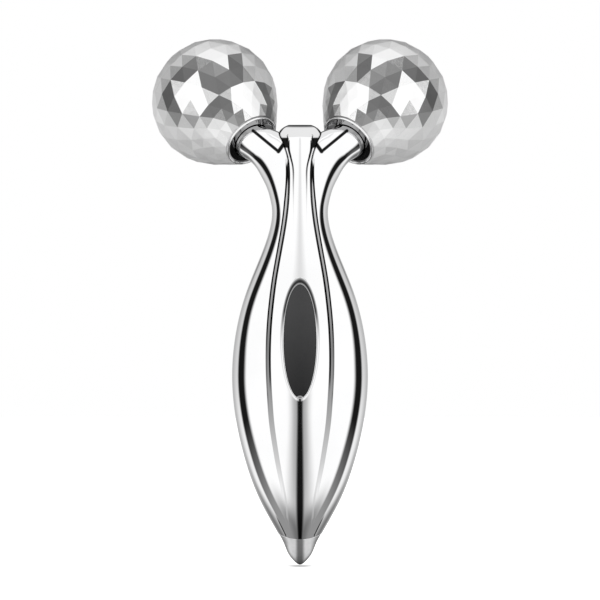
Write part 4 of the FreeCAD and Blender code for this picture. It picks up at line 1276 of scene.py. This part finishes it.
class RollerAddStage(bpy.types.Operator):
    """Add the camera, the white floor and the surroundings that the plating mirrors."""

    bl_idname = "roller.add_stage"
    bl_label = "Add stage"

    def execute(self, context):
        settings = context.scene.roller_stage
        self.add_camera(context.scene, settings)
        self.add_world(context.scene)
        self.add_floor(context.scene, settings)
        self.add_dome(context.scene, settings)
        return {"FINISHED"}

    def add_camera(self, scene, settings):
        """A long lens level with the picture's middle, looking along +Y."""
        data = bpy.data.cameras.new("photo_camera")
        data.lens = data.sensor_width * settings.camera_distance / settings.picture_width
        camera = bpy.data.objects.new("photo_camera", data)
        camera.location = (0, -settings.camera_distance, settings.camera_height)
        camera.rotation_euler = (math.pi / 2, 0, 0)
        scene.collection.objects.link(camera)
        scene.camera = camera
        scene.view_settings.view_transform = "Standard"

    def add_world(self, scene):
        """A plain white world behind everything."""
        world = bpy.data.worlds.new("white")
        world.use_nodes = True
        background = world.node_tree.nodes["Background"]
        set_sockets(world.node_tree, background, {"Color": (1, 1, 1, 1), "Strength": 1.0})
        scene.world = world

    def add_object(self, scene, name, points, faces, material):
        """An object of the stage."""
        mesh = bpy.data.meshes.new(name)
        mesh.from_pydata(points, [], faces)
        mesh.materials.append(material)
        made = bpy.data.objects.new(name, mesh)
        scene.collection.objects.link(made)
        return made

    def add_floor(self, scene, settings):
        """A white floor under the tip that shows a painted contact shadow and is not mirrored."""
        half = settings.dome_radius * FLOOR_SHARE
        level = -HAND_HEIGHT * MM - FLOOR_DROP
        corners = [(-half, -half, level), (half, -half, level), (half, half, level), (-half, half, level)]
        floor = self.add_object(scene, "floor", corners, [(0, 1, 2, 3)], self.floor_material())
        floor.visible_glossy = False

    def floor_material(self):
        """White paper, with a painted shadow that dims it in a long oval under the tip."""
        material, tree, shader, place, _ = new_material("floor_white")
        tone = add_grey_ramp(tree, add_noise(tree, place, PAPER_SCALE), PAPER_TONES)
        across, along, middle = (value * MM for value in SHADOW_OVAL)
        away = oval_distance(tree, place, (0.0, middle), (across, along))
        # Painted contact shadow, darkest in the middle of the oval
        shadow = add_range(tree, away, *SHADOW_FADE)
        set_sockets(tree, shader, {
            "Base Color": scaled(tree, tone, shadow),
            "Roughness": 1.0,
            "Specular IOR Level": 0.0,
            "Emission Color": (1, 1, 1, 1),
            "Emission Strength": add_math(tree, "MULTIPLY", shadow, FLOOR_GLOW),
        })
        return material

    def add_dome(self, scene, settings):
        """A dome round everything: white in front, dark bands at the sides and grey behind."""
        tilt = np.linspace(0, np.pi, DOME_STEPS[0])[:, None]
        turn = full_turn(DOME_STEPS[1])[None, :]
        x = np.sin(tilt) * np.sin(turn)
        y = np.sin(tilt) * np.cos(turn)
        z = np.cos(tilt) + 0 * turn
        points, faces = loop_mesh(settings.dome_radius * np.stack([x, y, z], -1))
        dome = self.add_object(scene, "dome", points.tolist(), faces, self.dome_material(settings))
        dome.visible_camera = False
        dome.visible_shadow = False

    def dome_material(self, settings):
        """Brightness from the direction: turn away from the front, and height above the horizon."""
        material = bpy.data.materials.new("surroundings")
        material.use_nodes = True
        tree = material.node_tree
        tree.nodes.clear()
        across, back, up = split(tree, add_node(tree, "ShaderNodeTexCoord").outputs["Object"])
        side = add_math(tree, "ABSOLUTE", across)
        front = add_math(tree, "MULTIPLY", back, -1.0)
        turn = add_math(tree, "ARCTAN2", side, front)
        sine = add_math(tree, "DIVIDE", up, settings.dome_radius * DOME_MARGIN)
        height = add_math(tree, "ARCSINE", sine)
        light = self.side_bands(tree, turn, height, settings)
        light = self.fade_down(tree, light, turn, height)
        light = add_math(
            tree, "MULTIPLY", light,
            self.front_stripe(tree, side, height, settings),
            self.rear_edge(tree, turn, height),
            self.mouth_spot(tree, combine(tree, side, front, up), settings),
            add_range(tree, turn, *FRONT_DIM),
        )
        glow = add_node(tree, "ShaderNodeEmission", {"Color": (1, 1, 1, 1), "Strength": light})
        add_node(tree, "ShaderNodeOutputMaterial", {"Surface": glow.outputs["Emission"]})
        return material

    def side_bands(self, tree, turn, height, settings):
        """White in front, a dark band at each side that shifts with the height, and grey behind."""
        shifted = add_math(tree, "SUBTRACT", turn, add_range(tree, height, *BAND_SHIFT))
        starts = (settings.band_start + edge for edge in BAND_START_EDGE)
        ends = (settings.band_end + edge for edge in BAND_END_EDGE)
        into = add_range(tree, shifted, *starts, settings.front_tone, BAND_TONE)
        out = add_range(tree, shifted, *ends, 0.0, 1.0)
        beside = add_range(tree, height, *BESIDE_HEIGHTS, BESIDE_LOW_TONE, settings.rear_tone)
        rear = add_range(tree, turn, settings.band_end + REAR_MARGIN, REAR_END, beside, REAR_END_TONE)
        rear = add_math(tree, "MAXIMUM", rear, add_range(tree, height, *REAR_TOP))
        return add_math(tree, "ADD", into, add_math(tree, "MULTIPLY", out, rear))

    def fade_down(self, tree, light, turn, height):
        """The light fading downwards, with a faint glow low down and a brighter one overhead."""
        sinking = add_math(tree, "ADD", height, add_range(tree, turn, *SINK_FRONT))
        sinking = add_math(tree, "SUBTRACT", sinking, add_range(tree, turn, *SINK_REAR))
        light = add_math(tree, "MULTIPLY", light, add_range(tree, sinking, *SINK_FADE))
        low = add_range(tree, height, *LOW_GLOW)
        return add_math(tree, "MAXIMUM", light, low, add_range(tree, height, *TOP_GLOW))

    def mouth_spot(self, tree, place, settings):
        """The dark place low at each side that the flat of each roller's mouth mirrors to the camera."""
        axis = axle_axis()
        mirrored_view = np.array([-2 * axis[0] * axis[1], 2 * axis[1] ** 2 - 1, -2 * axis[1] * axis[2]])
        away = add_vector_math(tree, "DISTANCE", place, mirrored_view * settings.dome_radius)
        return add_range(tree, add_math(tree, "DIVIDE", away, settings.dome_radius), *MOUTH_SPOT)

    def rear_edge(self, tree, turn, height):
        """The dark place behind and above that shows as the thin line along upper outlines."""
        behind = add_range(tree, turn, *EDGE_TURN)
        above = add_range(tree, height, *EDGE_ABOVE)
        under = add_range(tree, height, *EDGE_UNDER)
        return add_range(tree, add_math(tree, "MULTIPLY", behind, above, under), *EDGE_LIGHT)

    def front_stripe(self, tree, side, height, settings):
        """The dark strip low in front that shows as the line down the lower trim."""
        radius = settings.dome_radius
        widening = add_range(tree, height, *STRIPE_HEIGHTS, STRIPE_WIDENING * radius, radius)
        place = add_math(tree, "DIVIDE", side, widening)
        core = add_range(tree, place, *STRIPE_CORE)
        strip = add_math(tree, "ADD", core, add_range(tree, place, *STRIPE_SIDE))
        return add_math(tree, "MAXIMUM", strip, add_range(tree, height, *STRIPE_END))


class RollerPanel(bpy.types.Panel):
    """Buttons and settings in the sidebar."""

    bl_idname = "VIEW3D_PT_roller"
    bl_label = "Massage roller"
    bl_space_type = "VIEW_3D"
    bl_region_type = "UI"
    bl_category = "Roller"

    def draw(self, context):
        for operator in OPERATORS:
            self.layout.operator(operator.bl_idname)
        for name in RollerSettings.__annotations__:
            self.layout.prop(context.scene.roller, name)
        for name in RollerStageSettings.__annotations__:
            self.layout.prop(context.scene.roller_stage, name)


OPERATORS = [
    RollerAddShells,
    RollerAddTrim,
    RollerAddWindow,
    RollerAddCap,
    RollerAddBalls,
    RollerAddRings,
    RollerFinishInside,
    RollerAddStage,
]


def register():
    """Register the settings, the operators and the panel."""
    for kind in [RollerSettings, RollerStageSettings, *OPERATORS, RollerPanel]:
        bpy.utils.register_class(kind)
    bpy.types.Scene.roller = PointerProperty(type=RollerSettings)
    bpy.types.Scene.roller_stage = PointerProperty(type=RollerStageSettings)


def unregister():
    """Take everything back out."""
    del bpy.types.Scene.roller_stage
    del bpy.types.Scene.roller
    for kind in reversed([RollerSettings, RollerStageSettings, *OPERATORS, RollerPanel]):
        bpy.utils.unregister_class(kind)


def main():
    """Build every piece in order."""
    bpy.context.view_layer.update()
    register()
    bpy.ops.roller.add_shells()
    bpy.ops.roller.add_trim()
    bpy.ops.roller.add_window()
    bpy.ops.roller.add_cap()
    bpy.ops.roller.add_balls()
    bpy.ops.roller.add_rings()
    bpy.ops.roller.finish_inside()
    bpy.ops.roller.add_stage()


if __name__ == "__main__":
    main()
